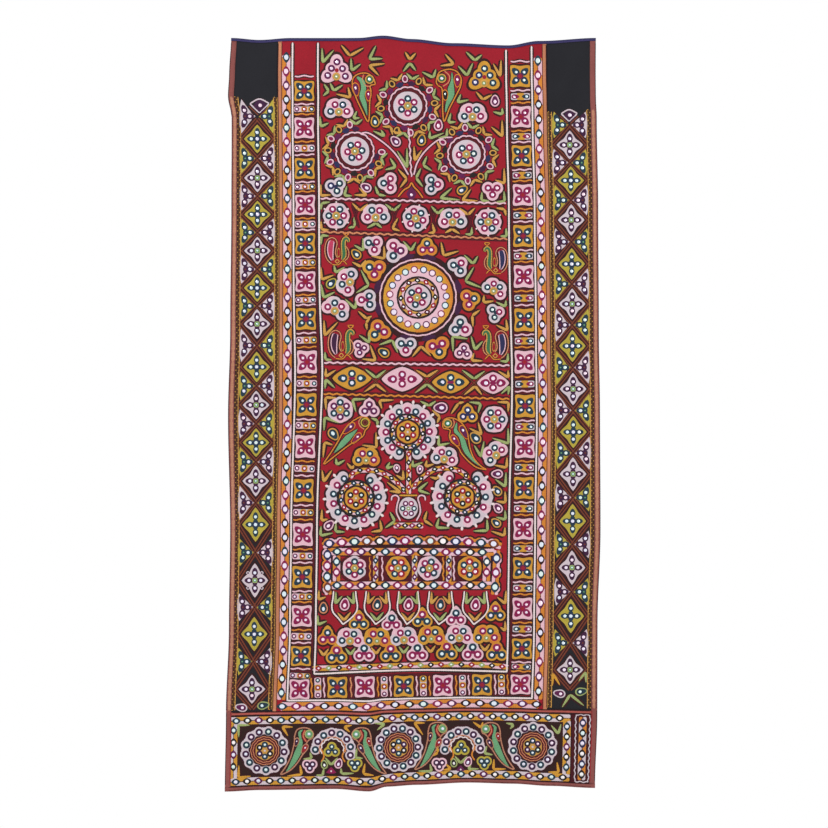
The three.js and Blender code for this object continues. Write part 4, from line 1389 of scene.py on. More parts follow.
@dataclass
class LatticeWork(Work):
    """The dark side strips: a brown lattice of mirrored diamonds, with half ones at the sides."""

    left: tuple[float, ...] = (
        139, 178, 214.5, 250.7, 288, 324, 367, 405, 442.6, 481, 524.5, 580.4, 634, 689)
    right: tuple[float, ...] = (145, 180.5, 220, 264, 304, 346, 389, 432, 474, 521, 567.5, 616, 669.7)
    centre: float = 305.5
    half_width: float = 17.6
    KNOTS: ClassVar[tuple[tuple[float, float], ...]] = ((-6.8, -7.4), (6.8, -7.4), (-6.8, 7.4), (6.8, 7.4))

    def work(self) -> None:
        """Works both strips."""
        for side, heights, first_gold in ((-1, self.left, True), (1, self.right, False)):
            spine = self.needle.cloth.chart(side * self.centre, np.linspace(0, 1306, 60))
            self.edging(side)
            places = [(at_height(spine, v), v) for v in heights]
            self.lattice(places)
            for k, (u, v) in enumerate(places):
                pitch = (heights[min(k + 1, len(heights) - 1)] - heights[max(k - 1, 0)]) / 2
                gold = (k % 2 == 0) == first_gold
                self.diamond(u, v, gold, pitch if 0 < k < len(heights) - 1 else 38)
            self.halves(places, side)
            u, v = places[0]
            if side < 0:
                self.fan(u + 2.2, v - 26, 1)
            else:
                self.fan(u - 0.6, v - 23.6, 0.84)
            self.drops(*places[-1], side)

    def edging(self, side: int) -> None:
        """Dotted dark lines down both edges of the strip, and the salmon rows beside the binding."""
        cloth, needle = self.needle.cloth, self.needle
        start = 114 if side < 0 else 139
        worked = np.linspace(start, 1300, 90)
        for across, inward in ((342.6, -1), (267.8, 1)):
            path = cloth.chart(side * across, worked)
            needle.line(UMBER, path, 2.6, rise=0.3)
            needle.line(TAN, cloth.chart(side * (across + inward * 3.9), worked), 0.9)
            for k, (u, v) in enumerate(cloth.chart(side * across, np.arange(start, 1300, 5.2))):
                needle.pad(TAN, u + (1 if k % 2 else -1), v, Outline(0.55), LOW - 0.1, 0.3)
        full = np.linspace(9, 1300, 90)
        needle.line(CLAY, cloth.chart(side * 350.9, worked), 4.1, lift=2.15, rise=0.35)
        # Dark line along the binding's outer fold: painted shade where the fold turns away.
        needle.line(DARK, cloth.chart(side * 355.9, full), 1.1, lift=2.1, rise=0.4)
        needle.line(TAN, cloth.chart(side * 264.4, worked), 0.9)
        # Dark lines along both edges of the seam trim: partly its dark border, partly painted shade along it.
        needle.line(MAROON, cloth.chart(side * 255.9, full), 1.1)
        needle.line(DARK, cloth.chart(side * 263.2, full), 0.9, lift=2.3, rise=0.3)

    def lattice(self, places: Places) -> None:
        """Double brown lines that zigzag from the strip's middle to each edge and back."""
        knots = [((a[0] + b[0]) / 2, (a[1] + b[1]) / 2) for a, b in zip(places[:-1], places[1:])]
        first, last = places[0], places[-1]
        knots = [(first[0], first[1] - 20), *knots, (last[0], last[1] + 20)]
        for edge in (-1, 1):
            sides = [(u + edge * self.half_width, v) for u, v in places]
            for ends in (*zip(knots[:-1], sides), *zip(sides, knots[1:])):
                path = np.array(ends)
                way = path[1] - path[0]
                across = np.array([-way[1], way[0]]) / np.hypot(*way)
                # Dark row under the double lines: partly outline stitching, partly painted shade.
                self.needle.line(DARK, path, 5.6, lift=FACE + 0.02, rise=0.2)
                for shift in (-1.2, 1.2):
                    self.needle.line(BROWN, path + across * shift, 1.5, lift=FACE + 0.06, rise=0.42)

    def petal(self, u: float, v: float, turn: float, dark: Thread, size: float, point: float = 0.4) -> None:
        """A dark pointed petal with a mirror."""
        self.needle.pad(dark, u, v, Outline(size, tall=0.9, turn=turn, point=point), LOW + 0.1, 0.3)
        self.needle.mirror(u, v, 1.7, dark, width=1.1)

    def diamond(self, u: float, v: float, gold: bool, pitch: float) -> None:
        """A diamond in a pale thread with dark petals up, down, left and right, and a middle mirror."""
        needle = self.needle
        fill, dark, depth = (OLIVE, TEAL, 0.05) if gold else (LILAC, PLUM, 0.07)
        tall = min(1.3, pitch / 35)
        shape = Outline(13.7 / (1 + depth), tall=tall, power=1.08, lobes=4, depth=depth)
        # Dark patch round the diamond: partly outline stitching, partly painted shade.
        needle.pad(DARK, u, v, shape._replace(size=shape.size + 1.3), FACE + 0.1, 0.3)
        needle.pad(fill, u, v, shape, FACE + 0.2, 0.3)
        for quarter in range(4):
            way = 90 * quarter
            upright = quarter % 2 == 1
            reach = 5.9 * tall if upright else 5.9
            self.petal(*turned(u, v, way, reach), way, dark, 3.3 if gold else 3.5, 0.5 if upright else 0.35)
            needle.pad(dark, *turned(u, v, way, 2.8), Outline(2.6), LOW + 0.1, 0.3)
        if gold:
            needle.mirror(u, v, 1.8, NAVY)
        else:
            for x, y in self.KNOTS if pitch > 50 else ():
                needle.pad(fill, u + x, v + y, Outline(1.9), FACE + 0.22, 0.3)
                needle.pad(dark, u + x, v + y, Outline(0.9), LOW + 0.3, 0.3)
            needle.pad(GREEN, u, v, Outline(3.3), HIGH, 0.2)
            needle.mirror(u, v, 1, PARROT, width=1)

    def halves(self, places: Places, side: int) -> None:
        """Half diamonds with three petals, at the edges between the whole ones, in the colours by turns."""
        heights = [v for _, v in places]
        above = heights[0] - (20 if side > 0 else 22.5)
        mids = [above, *[(a + b) / 2 for a, b in zip(heights[:-1], heights[1:])]]
        for k, v in enumerate(mids):
            u = places[max(0, k - 1)][0]
            pitch = (32 if side > 0 else 41) if k == 0 else heights[k] - heights[k - 1]
            for edge in (-1, 1):
                gold = (k % 2 == 0) == (edge * side < 0)
                self.half_diamond(u + edge * self.half_width, v, edge, gold, pitch)

    def half_diamond(self, u: float, v: float, edge: int, gold: bool, pitch: float) -> None:
        """Three petals in a triangle whose long side lies along the strip's edge."""
        needle = self.needle
        fill, dark = (OLIVE, TEAL) if gold else (LILAC, PLUM)
        tall = pitch / 35 if pitch < 44 else 0.95
        path = np.array([(u - edge * x, v) for x in (0, 2.4, 6.6, 10.4, 16)])
        wide = np.array([32 * tall, 28 * tall, 17.4 * tall, 10.8, 1])
        # Dark row round the half diamond: partly outline stitching, partly painted shade.
        needle.line(DARK, path, wide + 2.6, lift=FACE + 0.1, rise=0.3)
        needle.line(fill, path, wide, lift=FACE + 0.15, rise=0.33)
        side = 5.1 if gold else 5.9
        for x, y, way, point in ((4.9, -side, -110, 0.75), (4.9, side, 110, 0.75), (10.2, 0, 0, 0.3)):
            turn = 180 - way if edge > 0 else way
            self.petal(u - edge * x, v + y, turn, dark, 3.4, point)
        needle.pad(dark, u - edge * 6, v, Outline(2.9, tall=1.25), LOW + 0.1, 0.4)
        needle.pad(PARROT if gold else BROWN, u - edge * 5.6, v, Outline(0.9), HIGH + 0.2, 0.35)

    def fan(self, u: float, v: float, size: float) -> None:
        """A lilac fan with one mirror where the lattice begins, and two brown rows out of its foot."""
        needle = self.needle
        foot = np.array([u, v])
        needle.pad(PLUM, u + 0.8 * size, v - 6.5 * size, Outline(7.2 * size, turn=90, power=1.4), rise=0.4)
        needle.cord(LILAC, curve(*(foot + size * np.array([(-9.4, -9.2), (0, -13.8), (9.8, -9.4)]))), 1.4, 1)
        for side in (-1, 1):
            edge = foot + size * np.array([(side * 9.5, -9), (0, 0)])
            needle.cord(LILAC, edge, 1.4, 1)
            needle.line(BROWN, edge + (side * 1.2, 2.2), 1.3, lift=FACE + 0.06, rise=0.42)
        needle.mirror(u + 0.8 * size, v - 7.5 * size, 1.9, PLUM)

    def drops(self, u: float, v: float, side: int) -> None:
        """Two pointed drops below the last diamond, and on the right leaves about them."""
        needle = self.needle
        for x, y, way, fill, dark in ((-9.5, 24, 190, LILAC, PURPLE),
                                      (10, 22, -10, GREEN, TEAL)):
            place = (u + x, v + y - (5.5 if side < 0 else 0))
            needle.pad(dark, *place, Outline(4.4, tall=0.85, turn=way, point=0.5), rise=0.4)
            needle.ring(fill, *place, Outline(5, tall=0.85, turn=way, point=0.55), 1.4, FACE + 0.1)
            needle.mirror(*place, 1.6, dark)
        if side > 0:
            leaves = self.motifs.vees
            leaves(GREEN, (u - 8, v + 37.5, u + 0.3, v + 25.6, u + 14, v + 36),
                   (u + 8.6, v + 11.5, u + 15.4, v + 3, u + 16, v + 13))
            leaves(GOLD, (u - 17.6, v + 16, u - 17, v + 4.5, u - 10, v + 15.6))


@dataclass
class FieldWork(Work):
    """The red field: seven bands of flowers, birds, leaves, arches and hearts, one under another."""

    def work(self) -> None:
        """Works the bands from the top down."""
        self.garden()
        self.flower_band()
        self.great_wheel()
        self.lens_band()
        self.fountain()
        self.mirror_panel()
        self.pendants()
        self.hearts()

    def divider(self, thread: Thread, left: tuple[float, float], right: tuple[float, float]) -> None:
        """A wavy line across the field."""
        span = right[0] - left[0]
        self.needle.line(MAROON, np.array([left, right]), 6, rise=0.2)
        self.needle.cord(thread, wavy(left, right, 0.6, span / 7.7), 1.7, 2)

    def garden(self) -> None:
        """The top band: three roundels on stems, two parrots, hearts, drops and leaves."""
        m, needle = self.motifs, self.needle
        m.tall_heart(337, 72)
        m.tall_heart(484.5, 79, gold=True)
        m.fan(338.8, 112)
        m.fan(472.5, 117)
        m.parrot(369.6, 79.6)
        m.parrot(441.8, 78.4, facing=-1, shape=BROAD)
        m.roundel(407.8, 106, turn=-6)
        m.roundel(354.9, 151.3, loops=14, turn=27.7, skip=(10, 11, 12), spin=-5)
        m.roundel(466.4, 154.4, 17.8, turn=-3, spin=-5)
        for place, turn, edge, fill in (
                ((375.2, 122.5), -100, GOLD, TEAL), ((396.2, 142), -135, PINK, PURPLE),
                ((421.5, 141), -80, GOLD, TEAL), ((438.3, 126), -85, PINK, MAGENTA),
                ((494.9, 102), -90, PINK, PURPLE), ((366.8, 188), -150, PINK, PURPLE),
                ((461.5, 190.5), -30, GOLD, TEAL)):
            m.drop(*place, turn, edge, fill)
        needle.cord(PINK, curve((361, 133.5), (367, 132.8), (374.5, 136.5), (388, 146.5), (398, 157.5),
                                (408.5, 175)))
        needle.cord(PINK, curve((452.5, 137.5), (443, 138), (434, 143), (424, 152.5), (417, 163.5),
                                (413.8, 175)))
        needle.cord(PINK, wavy((408.8, 128), (411.4, 177), 0.5, 6))
        needle.pad(PURPLE, 411.5, 194, Outline(7.5, tall=0.7, turn=-90, power=1.1), rise=0.4)
        needle.mirror(411.4, 195, 1.5, PURPLE)
        needle.cord(ORANGE, curve((398, 197), (404, 190), (409, 187), (411.5, 183), (414, 187), (418, 191),
                                  (423, 198)))
        m.triple(335.9, 187, 165, rims=(TEAL, NAVY), reach=6.4)
        m.triple(388, 183.3, -90, rims=(TEAL, MAGENTA, MAGENTA), reach=6.6)
        m.triple(433.5, 184.5, 90, rims=(MAGENTA, TEAL, TEAL), reach=6.4)
        m.triple(492.5, 190.5, 180, rims=(MAGENTA,), reach=6.4)
        m.vees(GREEN,
               (322, 48, 323, 62, 334, 50), (351, 58, 352, 70, 361, 64), (376, 46, 370, 59, 383, 59),
               (403, 72, 410, 64, 416, 71), (330, 83, 334, 90, 343, 85), (324, 84, 328, 91, 323, 96),
               (357, 111, 354, 118, 360, 118), (466, 52, 475, 60, 482, 55), (458, 66, 467, 75, 473, 63),
               (422, 72, 433, 77, 436, 69), (461, 94, 458, 102, 469, 100), (502, 108, 502, 114, 493, 112),
               (451, 113, 449, 122, 456, 122), (320, 116, 321, 126, 329, 123),
               (373, 131, 384, 136, 381, 130), (397, 151, 407, 167, 407, 148),
               (390, 158, 395, 167, 385, 170), (347, 186, 345, 195, 352, 196),
               (375, 186, 379, 194, 386, 196), (430, 131, 430, 138, 444, 133),
               (427, 156, 424, 165, 432, 171), (421, 168, 417, 178, 423, 187),
               (452, 188, 441, 198, 460, 200), (482, 192, 482, 200, 489, 201),
               (504, 191, 504, 201, 496, 202))
        m.vees(TAN,
               (341, 45, 350, 55, 364, 48), (385, 64, 370, 66, 379, 76), (405, 52, 410, 59, 416, 53),
               (348, 87, 350, 97, 336, 94), (445, 54, 453, 64, 440, 66), (493, 64, 500, 76, 501, 60),
               (476, 92, 483, 99, 492, 95), (392, 131, 401, 134, 398, 129), (398, 169, 406, 179, 400, 188),
               (321, 184, 321, 195, 331, 195), (359, 188, 366, 195, 354, 195),
               (491, 127, 502, 136, 502, 120), (414, 146, 415, 160, 422, 150),
               (471, 189, 463, 200, 478, 201), (504, 168, 504, 183, 495, 180))
        self.divider(PINK, (320.5, 198.4), (506, 203.5))

    def flower_band(self) -> None:
        """The second band: whole and half flowers by turns."""
        m, needle = self.motifs, self.needle
        for place, turn in (((336.3, 215.8), 0), ((415.8, 218.5), 15), ((488.2, 222), 0)):
            m.blossom(*place, turn=turn)
            for k in range(6):
                needle.pad(WHITE, *turned(*place, turn + 30 + 60 * k, 13.6), Outline(0.9), LOW, 0.4)
        m.fan(375.6, 217.6, rims=(MAGENTA, TEAL))
        m.fan(452.6, 222.2, rims=(MAGENTA, TEAL))
        for u, v in ((355.5, 217), (394.5, 218.5), (433.5, 220.5), (470.5, 222.5)):
            for side in (-1, 1):
                needle.cord(MAROON, np.array([(u - side * 3.5, v - 12), (u + side * 3.5, v + 11)]), 1.6, 1)
        m.vees(GREEN,
               (321, 210, 322, 204, 330, 202), (354, 217, 354, 226, 348, 228),
               (367, 228, 376, 224, 382, 228), (385, 204, 394, 210, 401, 204),
               (431, 206, 438, 213, 444, 208), (472, 227, 471, 234, 465, 234),
               (506, 228, 506, 236, 500, 236))
        m.vees(TAN,
               (321, 221, 322, 229, 329, 230), (352, 203, 360, 210, 368, 204),
               (398, 218, 393, 228, 400, 231), (432, 223, 434, 232, 428, 233),
               (445, 233, 452, 230, 460, 234), (459, 208, 468, 214, 475, 208),
               (496, 208, 504, 210, 506, 216))
        self.divider(SALMON, (320.5, 231.8), (507.5, 239))

    def great_wheel(self) -> None:
        """The third band: a great wheel of mirrors, hearts about it, and a peacock in each corner."""
        m, needle = self.motifs, self.needle
        u, v = 418, 297.6
        # Dark ring under the outer spots: partly outline stitching, partly painted shade.
        needle.line(DARK, round_path(u, v, 39.6), 9.6, lift=FACE + 0.02, rise=0.2, closed=True)
        for k in range(12):
            fill = (PLUM, BLACK, PLUM)[k % 3]
            spot = Outline(3.6, tall=2.2, turn=30 * k + 15, power=1.4)
            needle.pad(fill, *turned(u, v, 15 + 30 * k, 41.6), spot, FACE + 0.1, 0.35)
        needle.line(PINK, round_path(u, v, 37.7, 26, 0.5), 1.5, lift=FACE + 0.2, closed=True)
        needle.line(GOLD, round_path(u, v, 31.6), 6.6, rise=0.5, closed=True)
        for first, sweep in ((-55, 75), (50, 45), (-110, 30)):
            needle.line(ORANGE, round_path(u, v, 33.4, start=first, sweep=sweep), 3, LOW - 0.1, 0.4)
        needle.line(PINK, round_path(u, v, 25), 7.2, rise=0.45, closed=True)
        rims = (PURPLE, TEAL, MAGENTA, NAVY)
        for k in range(19):
            needle.mirror(*turned(u, v, 360 / 19 * k - 2.8, 28.3), 2.7, rims[k % 4], width=0.95)
        for radius in (20.7, 13.8):
            needle.line(BLACK, round_path(u, v, radius), 1.4, lift=FACE + 0.35, closed=True)
        ring = round_path(u, v, 17.3, sweep=359)
        m.mirror_band(ring, 9.05, 5.2, TAN, PINK, (BLACK, CRIMSON, MAROON), 1.2, 8.3)
        needle.pad(LILAC, u, v, Outline(13), FACE + 0.01)
        m.blossom(u - 1, v, turn=-17, orbit=7.2, rims=(TEAL, MAGENTA))
        for place, turn, gold, size, threads in (
                ((373.4, 244.8), 50, False, 1, (MAGENTA, MAGENTA, TEAL)),
                ((396, 250.8), 90, False, 1.12, (PURPLE, TEAL, MAGENTA)),
                ((427, 247.6), 0, True, 0.95, (TEAL, MAGENTA, MAGENTA)),
                ((458.5, 266.2), 40, False, 1, (MAGENTA, TEAL, TEAL)),
                ((470, 299.7), 75, True, 1, (TEAL, MAGENTA, MAGENTA)),
                ((460.2, 327), 0, False, 1.1, (TEAL, MAGENTA, TEAL)),
                ((438, 347.5), 165, True, 1.12, (TEAL, MAGENTA, MAGENTA)),
                ((405.8, 346), 180, False, 1, (MAGENTA, TEAL, TEAL)),
                ((378.8, 330.8), -15, True, 1.1, (MAGENTA, MAGENTA, TEAL)),
                ((367, 300), 30, False, 1.05, (TEAL, TEAL, MAGENTA)),
                ((374.4, 269.9), 180, True, 1.1, (MAGENTA, TEAL, MAGENTA)),
                ((360.8, 348.6), 78, False, 0.84, (PURPLE,)),
                ((463.5, 351.6), 8, False, 0.84, (PURPLE,)), ((495.5, 313), 75, False, 0.9,
                                                              (MAGENTA, TEAL, TEAL))):
            m.triple(*place, turn, gold, size, threads, reach=6.6)
        m.fan(350, 282.2, -78, rims=(MAGENTA, TEAL))
        m.fan(334.8, 311, 27, rims=(MAGENTA, TEAL))
        m.fan(493.6, 291, 28, size=0.9)
        m.drop(330.7, 284, -45, OLIVE, TEAL, 5.2)
        m.drop(356.8, 254.8, -135, GOLD, TEAL, 5)
        m.drop(384.6, 353, -150, GOLD, TEAL, 5.2)
        m.peacock(337.5, 250.6, 1, ROSE, 0.95)
        m.peacock(341.5, 344, 1, PLUM)
        m.peacock(495.5, 260, -1, NAVY, 0.92)
        m.peacock(495, 344.5, -1, NAVY)
        m.vees(GREEN,
               (354, 245, 363, 250, 363, 238), (403, 241, 411, 250, 416, 242), (321, 245, 322, 236, 329, 236),
               (334, 265, 336, 272, 345, 267), (321, 284, 324, 297, 335, 292),
               (361, 270, 368, 285, 356, 293), (464, 255, 473, 263, 478, 256),
               (474, 267, 466, 281, 482, 288), (345, 299, 355, 308, 356, 300),
               (359, 335, 369, 342, 369, 332), (379, 345, 392, 341, 398, 353),
               (325, 352, 326, 359, 332, 360), (496, 302, 505, 306, 506, 300),
               (471, 336, 475, 349, 483, 341), (453, 352, 453, 337, 468, 339),
               (508, 353, 507, 361, 500, 361))
        m.vees(TAN,
               (384, 246, 384, 258, 371, 256), (352, 262, 361, 266, 366, 260),
               (321, 267, 322, 279, 334, 275), (441, 242, 444, 255, 459, 251),
               (358, 311, 367, 318, 372, 316), (370, 318, 367, 323, 367, 330),
               (324, 320, 325, 335, 338, 322), (370, 345, 375, 360, 362, 359),
               (412, 357, 421, 347, 431, 356), (484, 295, 484, 302, 494, 301),
               (480, 310, 473, 316, 473, 327), (506, 319, 507, 330, 496, 325),
               (474, 353, 472, 360, 483, 361))
        self.divider(PINK, (324, 362.6), (509.5, 365.6))

    def lens_band(self) -> None:
        """The fourth band: four pointed lens shapes with four mirrors each, leaves between them."""
        m, needle = self.motifs, self.needle
        for (u, v), half, gold in (((352, 378.3), 20, True), ((402.2, 379.2), 21, False),
                                   ((450.6, 382.3), 19, True), ((493, 383), 16.5, False)):
            fill, dark = (GOLD, TEAL) if gold else (PINK, MAGENTA)
            tall = max(0.6, 11.2 / half)
            # Dark patch round the lens: partly outline stitching, partly painted shade.
            needle.pad(DARK, u, v, Outline(half + 1.8, tall=tall + 0.04, power=1.35), rise=0.25)
            needle.pad(fill, u, v, Outline(half, tall=tall, power=1.35))
            for x, y, turn in ((-0.43 * half, 0, 180), (0.43 * half, 0, 0), (0, -4.6, -90), (0, 4.6, 90)):
                point = 0.45 if y == 0 else 0
                needle.pad(dark, u + x, v + y, Outline(4.3, turn=turn, point=point), LOW, 0.45)
                needle.mirror(u + x, v + y, 2, dark)
            needle.pad(MAGENTA, u, v, Outline(4, tall=0.8, power=1.2), LOW, 0.4)
        for u, v in ((375.6, 381), (427, 381), (474.2, 382.6)):
            for side in (-1, 1):
                needle.cord(BROWN, np.array([(u - side * 13, v - 11), (u + side * 13, v + 12)]), 1, 1.2)
        m.vees(GREEN,
               (365, 369, 376, 377, 386, 370), (415, 393, 427, 385, 438, 393),
               (462, 370, 474, 378, 485, 371), (325, 389, 326, 380, 335, 388),
               (501, 394, 509, 387, 508, 395))
        m.vees(TAN,
               (364, 392, 376, 385, 386, 392), (416, 370, 427, 376, 438, 370),
               (464, 395, 475, 387, 482, 395), (326, 368, 326, 376, 336, 370),
               (498, 371, 508, 377, 508, 370))
        self.divider(ORANGE, (323.5, 393.8), (509.5, 399))

    def fountain(self) -> None:
        """The fifth band: three wheels on beaded stems out of a vase, two parrots, and small flowers."""
        m, needle = self.motifs, self.needle
        m.wheel(407.7, 432, 21.7, first=112.5, pitch=22.4, count=15)
        m.wheel(355.9, 498.2, 22.8, first=-51.5, pitch=24.2, count=13)
        m.wheel(462.6, 497.2, 22.9, first=-53, pitch=26.2, count=12)
        for stem in (((408.7, 450), (408.7, 472), (408.7, 493)),
                     ((350.5, 477), (354, 472), (361, 470.2), (377.8, 471.3), (393.5, 479.4), (405, 491)),
                     ((412.5, 487.5), (422.5, 477.4), (436.3, 468.6), (453.2, 468.8), (463.5, 473.2),
                      (467.5, 478))):
            m.mirror_band(curve(*stem), 8.3, 4.8, GOLD, PINK, (BLACK, CRIMSON), 1.15)
        self.vase()
        m.blossom(340.2, 409.7, turn=-90, orbit=7.2, rims=(TEAL, PURPLE))
        m.blossom(494.3, 419.3, turn=-60, orbit=7.6)
        m.triple(369.3, 408.7, rims=(PURPLE,), reach=6.2, peak=3.2)
        m.triple(467.6, 414.2, gold=True, rims=(NAVY,), reach=6, peak=3.4)
        m.fan(366.1, 460.4, gold=True, size=0.95)
        m.fan(444.2, 459.3, 8, size=0.95)
        m.fan(496.2, 455.3, -42, size=0.95)
        m.parrot(365.1, 422.5, 1, DIAGONAL)
        m.parrot(447.7, 423.4, -1, BOWED)
        for u, v, turn, edge, fill, size in (
                (441.7, 407.8, 180, PINK, PURPLE, 6), (332.9, 433.4, 55, TAN, TEAL, 5.6),
                (476.1, 438.5, -135, TAN, TEAL, 5.6), (396.7, 467.8, 80, PINK, PURPLE, 3.8),
                (420, 468.8, 100, PINK, PURPLE, 3.8), (328.4, 525.9, -45, PINK, PURPLE, 5),
                (498, 473.9, 180, PINK, PURPLE, 5), (497.8, 491.5, -130, TAN, TEAL, 4.8),
                (498.4, 508.6, -130, PINK, PURPLE, 4.8), (496.7, 523.3, -140, TAN, TEAL, 4.8)):
            m.drop(u, v, turn, edge, fill, size)
        m.vees(GREEN,
               (366, 399, 353, 400, 356, 412), (324, 431, 325, 418, 339, 423), (371, 418, 377, 421, 377, 426),
               (336, 458, 337, 464, 345, 460), (420, 401, 429, 405, 436, 401), (469, 402, 480, 404, 478, 413),
               (492, 438, 508, 443, 508, 428), (439, 435, 439, 445, 450, 443), (474, 445, 481, 456, 484, 441),
               (390, 462, 387, 468, 394, 466), (413, 460, 413, 466, 423, 462), (390, 512, 394, 521, 385, 528),
               (321, 526, 321, 535, 333, 533), (336, 523, 336, 531, 345, 532), (428, 482, 419, 490, 430, 494),
               (439, 518, 437, 527, 450, 528), (487, 519, 487, 530, 473, 531), (495, 479, 505, 486, 506, 472),
               (496, 517, 505, 519, 505, 510))
        m.vees(TAN,
               (326, 410, 326, 398, 337, 398), (394, 400, 380, 401, 382, 409), (376, 432, 376, 447, 362, 445),
               (323, 458, 325, 443, 333, 445), (347, 463, 352, 468, 354, 465), (464, 402, 459, 404, 451, 414),
               (432, 410, 439, 417, 437, 423), (497, 402, 508, 403, 508, 412), (469, 428, 481, 434, 478, 422),
               (507, 457, 506, 467, 494, 465), (427, 460, 426, 466, 434, 464), (322, 470, 324, 481, 332, 470),
               (396, 475, 403, 479, 403, 470), (387, 482, 400, 492, 389, 491), (380, 520, 381, 530, 371, 532),
               (322, 509, 322, 520, 328, 519), (440, 473, 437, 478, 430, 477), (427, 511, 425, 520, 433, 526),
               (496, 501, 505, 502, 505, 491), (491, 531, 504, 535, 505, 527))

    def vase(self) -> None:
        """A round pot with six mirrors, curled handles, a rim and a beaded foot."""
        needle, u, v = self.needle, 408.4, 508
        # Dark patch round the pot: partly outline stitching, partly painted shade.
        needle.pad(DARK, u, v, Outline(11.2, tall=1.14), rise=0.2)
        needle.pad(LILAC, u, v, Outline(9.8, tall=1.14))
        for k, rim in enumerate((MAGENTA, TEAL, PURPLE) * 2):
            needle.mirror(*turned(u, v + 0.5, 60 * k - 60, 5.7), 1.5, rim, width=1.3)
        needle.mirror(u, v + 0.5, 1, GREEN, width=1)
        handle = ((17, -7.5), (16.2, -11.5), (12.2, -12.6), (9.6, -9.6), (11.2, -3.2), (11.8, 4.5), (8, 12.8))
        for side in (-1, 1):
            needle.cord(PINK, curve(*[(u + side * x, v + y) for x, y in handle]), 1.5, 1.8)
        needle.cord(GOLD, np.array([(u - 9, v - 12.6), (u + 9, v - 12.6)]), 1.6)
        foot = [(u - 14, v + 17.5), (u + 14, v + 17.5)]
        self.motifs.mirror_band(foot, 7.1, 5.6, GOLD, PINK, (BLACK, MAGENTA), 1.3)

    def mirror_panel(self) -> None:
        """The sixth band: a dark panel with four flowers, framed by strips of mirrors and scallops."""
        m, needle = self.motifs, self.needle
        for path, pitch, out in (
                (curve((323.4, 545.4), (330, 543.4), (372, 541.2), (450, 541.2), (494, 543.8), (500.5, 546)),
                 12.66, -90),
                (curve((327.6, 549.5), (327.2, 566), (327.2, 577), (328.2, 594)), 10.9, 180),
                (curve((496.8, 551), (495.8, 573.5), (494.4, 594)), 14.4, 0)):
            self.scallops(path, pitch, out)
        rims = (BLACK, TEAL, MAGENTA, PURPLE)
        for path, pitch in ((((331, 551.6), (493.5, 552.2)), 12.1), (((331, 585.4), (491, 585.2)), 12.1),
                            (((336.6, 556.5), (336.4, 580.5)), 10.5), (((487, 556.5), (486.2, 580.5)), 10.5)):
            m.mirror_band(path, pitch, 7.4, ORANGE, PINK, rims, 2.7)
        needle.pad(MAROON, 412, 568.6, Outline(70.5, tall=0.178, power=12), FACE - 0.1, 0.25)
        for path in (((331.6, 549), (372, 547), (450, 547), (491.8, 549.2)), ((331.7, 549), (332, 590)),
                     ((491.8, 549.2), (490.6, 590))):
            # Dark lines along the panel's edges: partly outline stitching, partly painted shade.
            needle.line(DARK, curve(*path), 2, lift=FACE + 0.05, rise=0.2)
        for u, gold, turn in ((354.6, False, -90), (398, True, 0), (429.4, False, -73), (469.6, True, -30)):
            m.blossom(u, 568.2, gold, orbit=6.5, turn=turn, rims=(TEAL, CRIMSON if gold else MAGENTA))
        for u in (375.6, 414.6, 448.8):
            m.mirror_band([(u, 556.5), (u, 580.8)], 8.2, 5.4, LILAC, GOLD, rims, 1.3)
        for u, thread in ((369.9, ORANGE), (382.3, PINK), (443.2, ORANGE), (453.9, PINK)):
            needle.cord(thread, wavy((u, 557), (u, 580.5), 0.5, 3), 1.5, 1.8)

    def scallops(self, path: Array, pitch: float, out: float) -> None:
        """A strip of larger mirrors, each with an arch in two colours on the side at out degrees."""
        for k, (u, v) in enumerate(stepped(path, pitch)):
            for side in (-1, 1):
                fill = PINK if (k % 2 == 0) == (side > 0) else ORANGE
                bulge = turned(u, v, out, 1, side * 1.7)
                self.needle.bed(*bulge, Outline(5.8))
                self.needle.pad(fill, *bulge, Outline(4.5), FACE + 0.02, 0.4)
        rims = (BLACK, NAVY, MAGENTA, TEAL, BROWN)
        self.motifs.mirror_band(path, pitch, 7, ORANGE, PINK, rims, 3.2)

    def pendants(self) -> None:
        """The seventh band: five pendants in white cord, with leaves and a drop in each."""
        m = self.motifs
        half = ((11, 591), (11.6, 598), (12.8, 606), (11.4, 612.4), (6, 618.6))
        for k, (u, share) in enumerate(((344.6, 1), (377.2, 1), (408.4, 0.86), (440.4, 1), (475.4, 1))):
            tip = (u - 1.6, 624.4)
            sides = [curve(*[(u + side * share * x, v) for x, v in half], tip) for side in (-1, 1)]
            self.needle.cord(WHITE, np.concatenate([sides[0], sides[1][::-1]]), 1.45, 2.4)
            upper, lower = (TAN, GREEN) if k % 2 else (GREEN, TAN)
            edge, fill = (SALMON, TEAL) if k % 2 else (PINK, MAGENTA)
            for side in (-1, 1):
                m.vees(upper, (u + side * 8.6, 591.6, u + side * 9, 603, u + side * 2.2, 596))
            m.vees(lower, (u - 7.2, 612.6, u - 0.6, 619.6, u + 6.4, 612))
            m.drop(u, 605.4, -82, edge, fill, 5.4)
        m.drop(323.4, 608.8, -90, SALMON, TEAL, 5)
        m.vees(TAN, (319, 590, 319, 599, 326, 597), (506, 590, 505, 603, 497, 597),
               (505, 621, 505, 630, 500, 627))
        m.vees(GREEN, (318, 615, 318, 624, 327, 621))

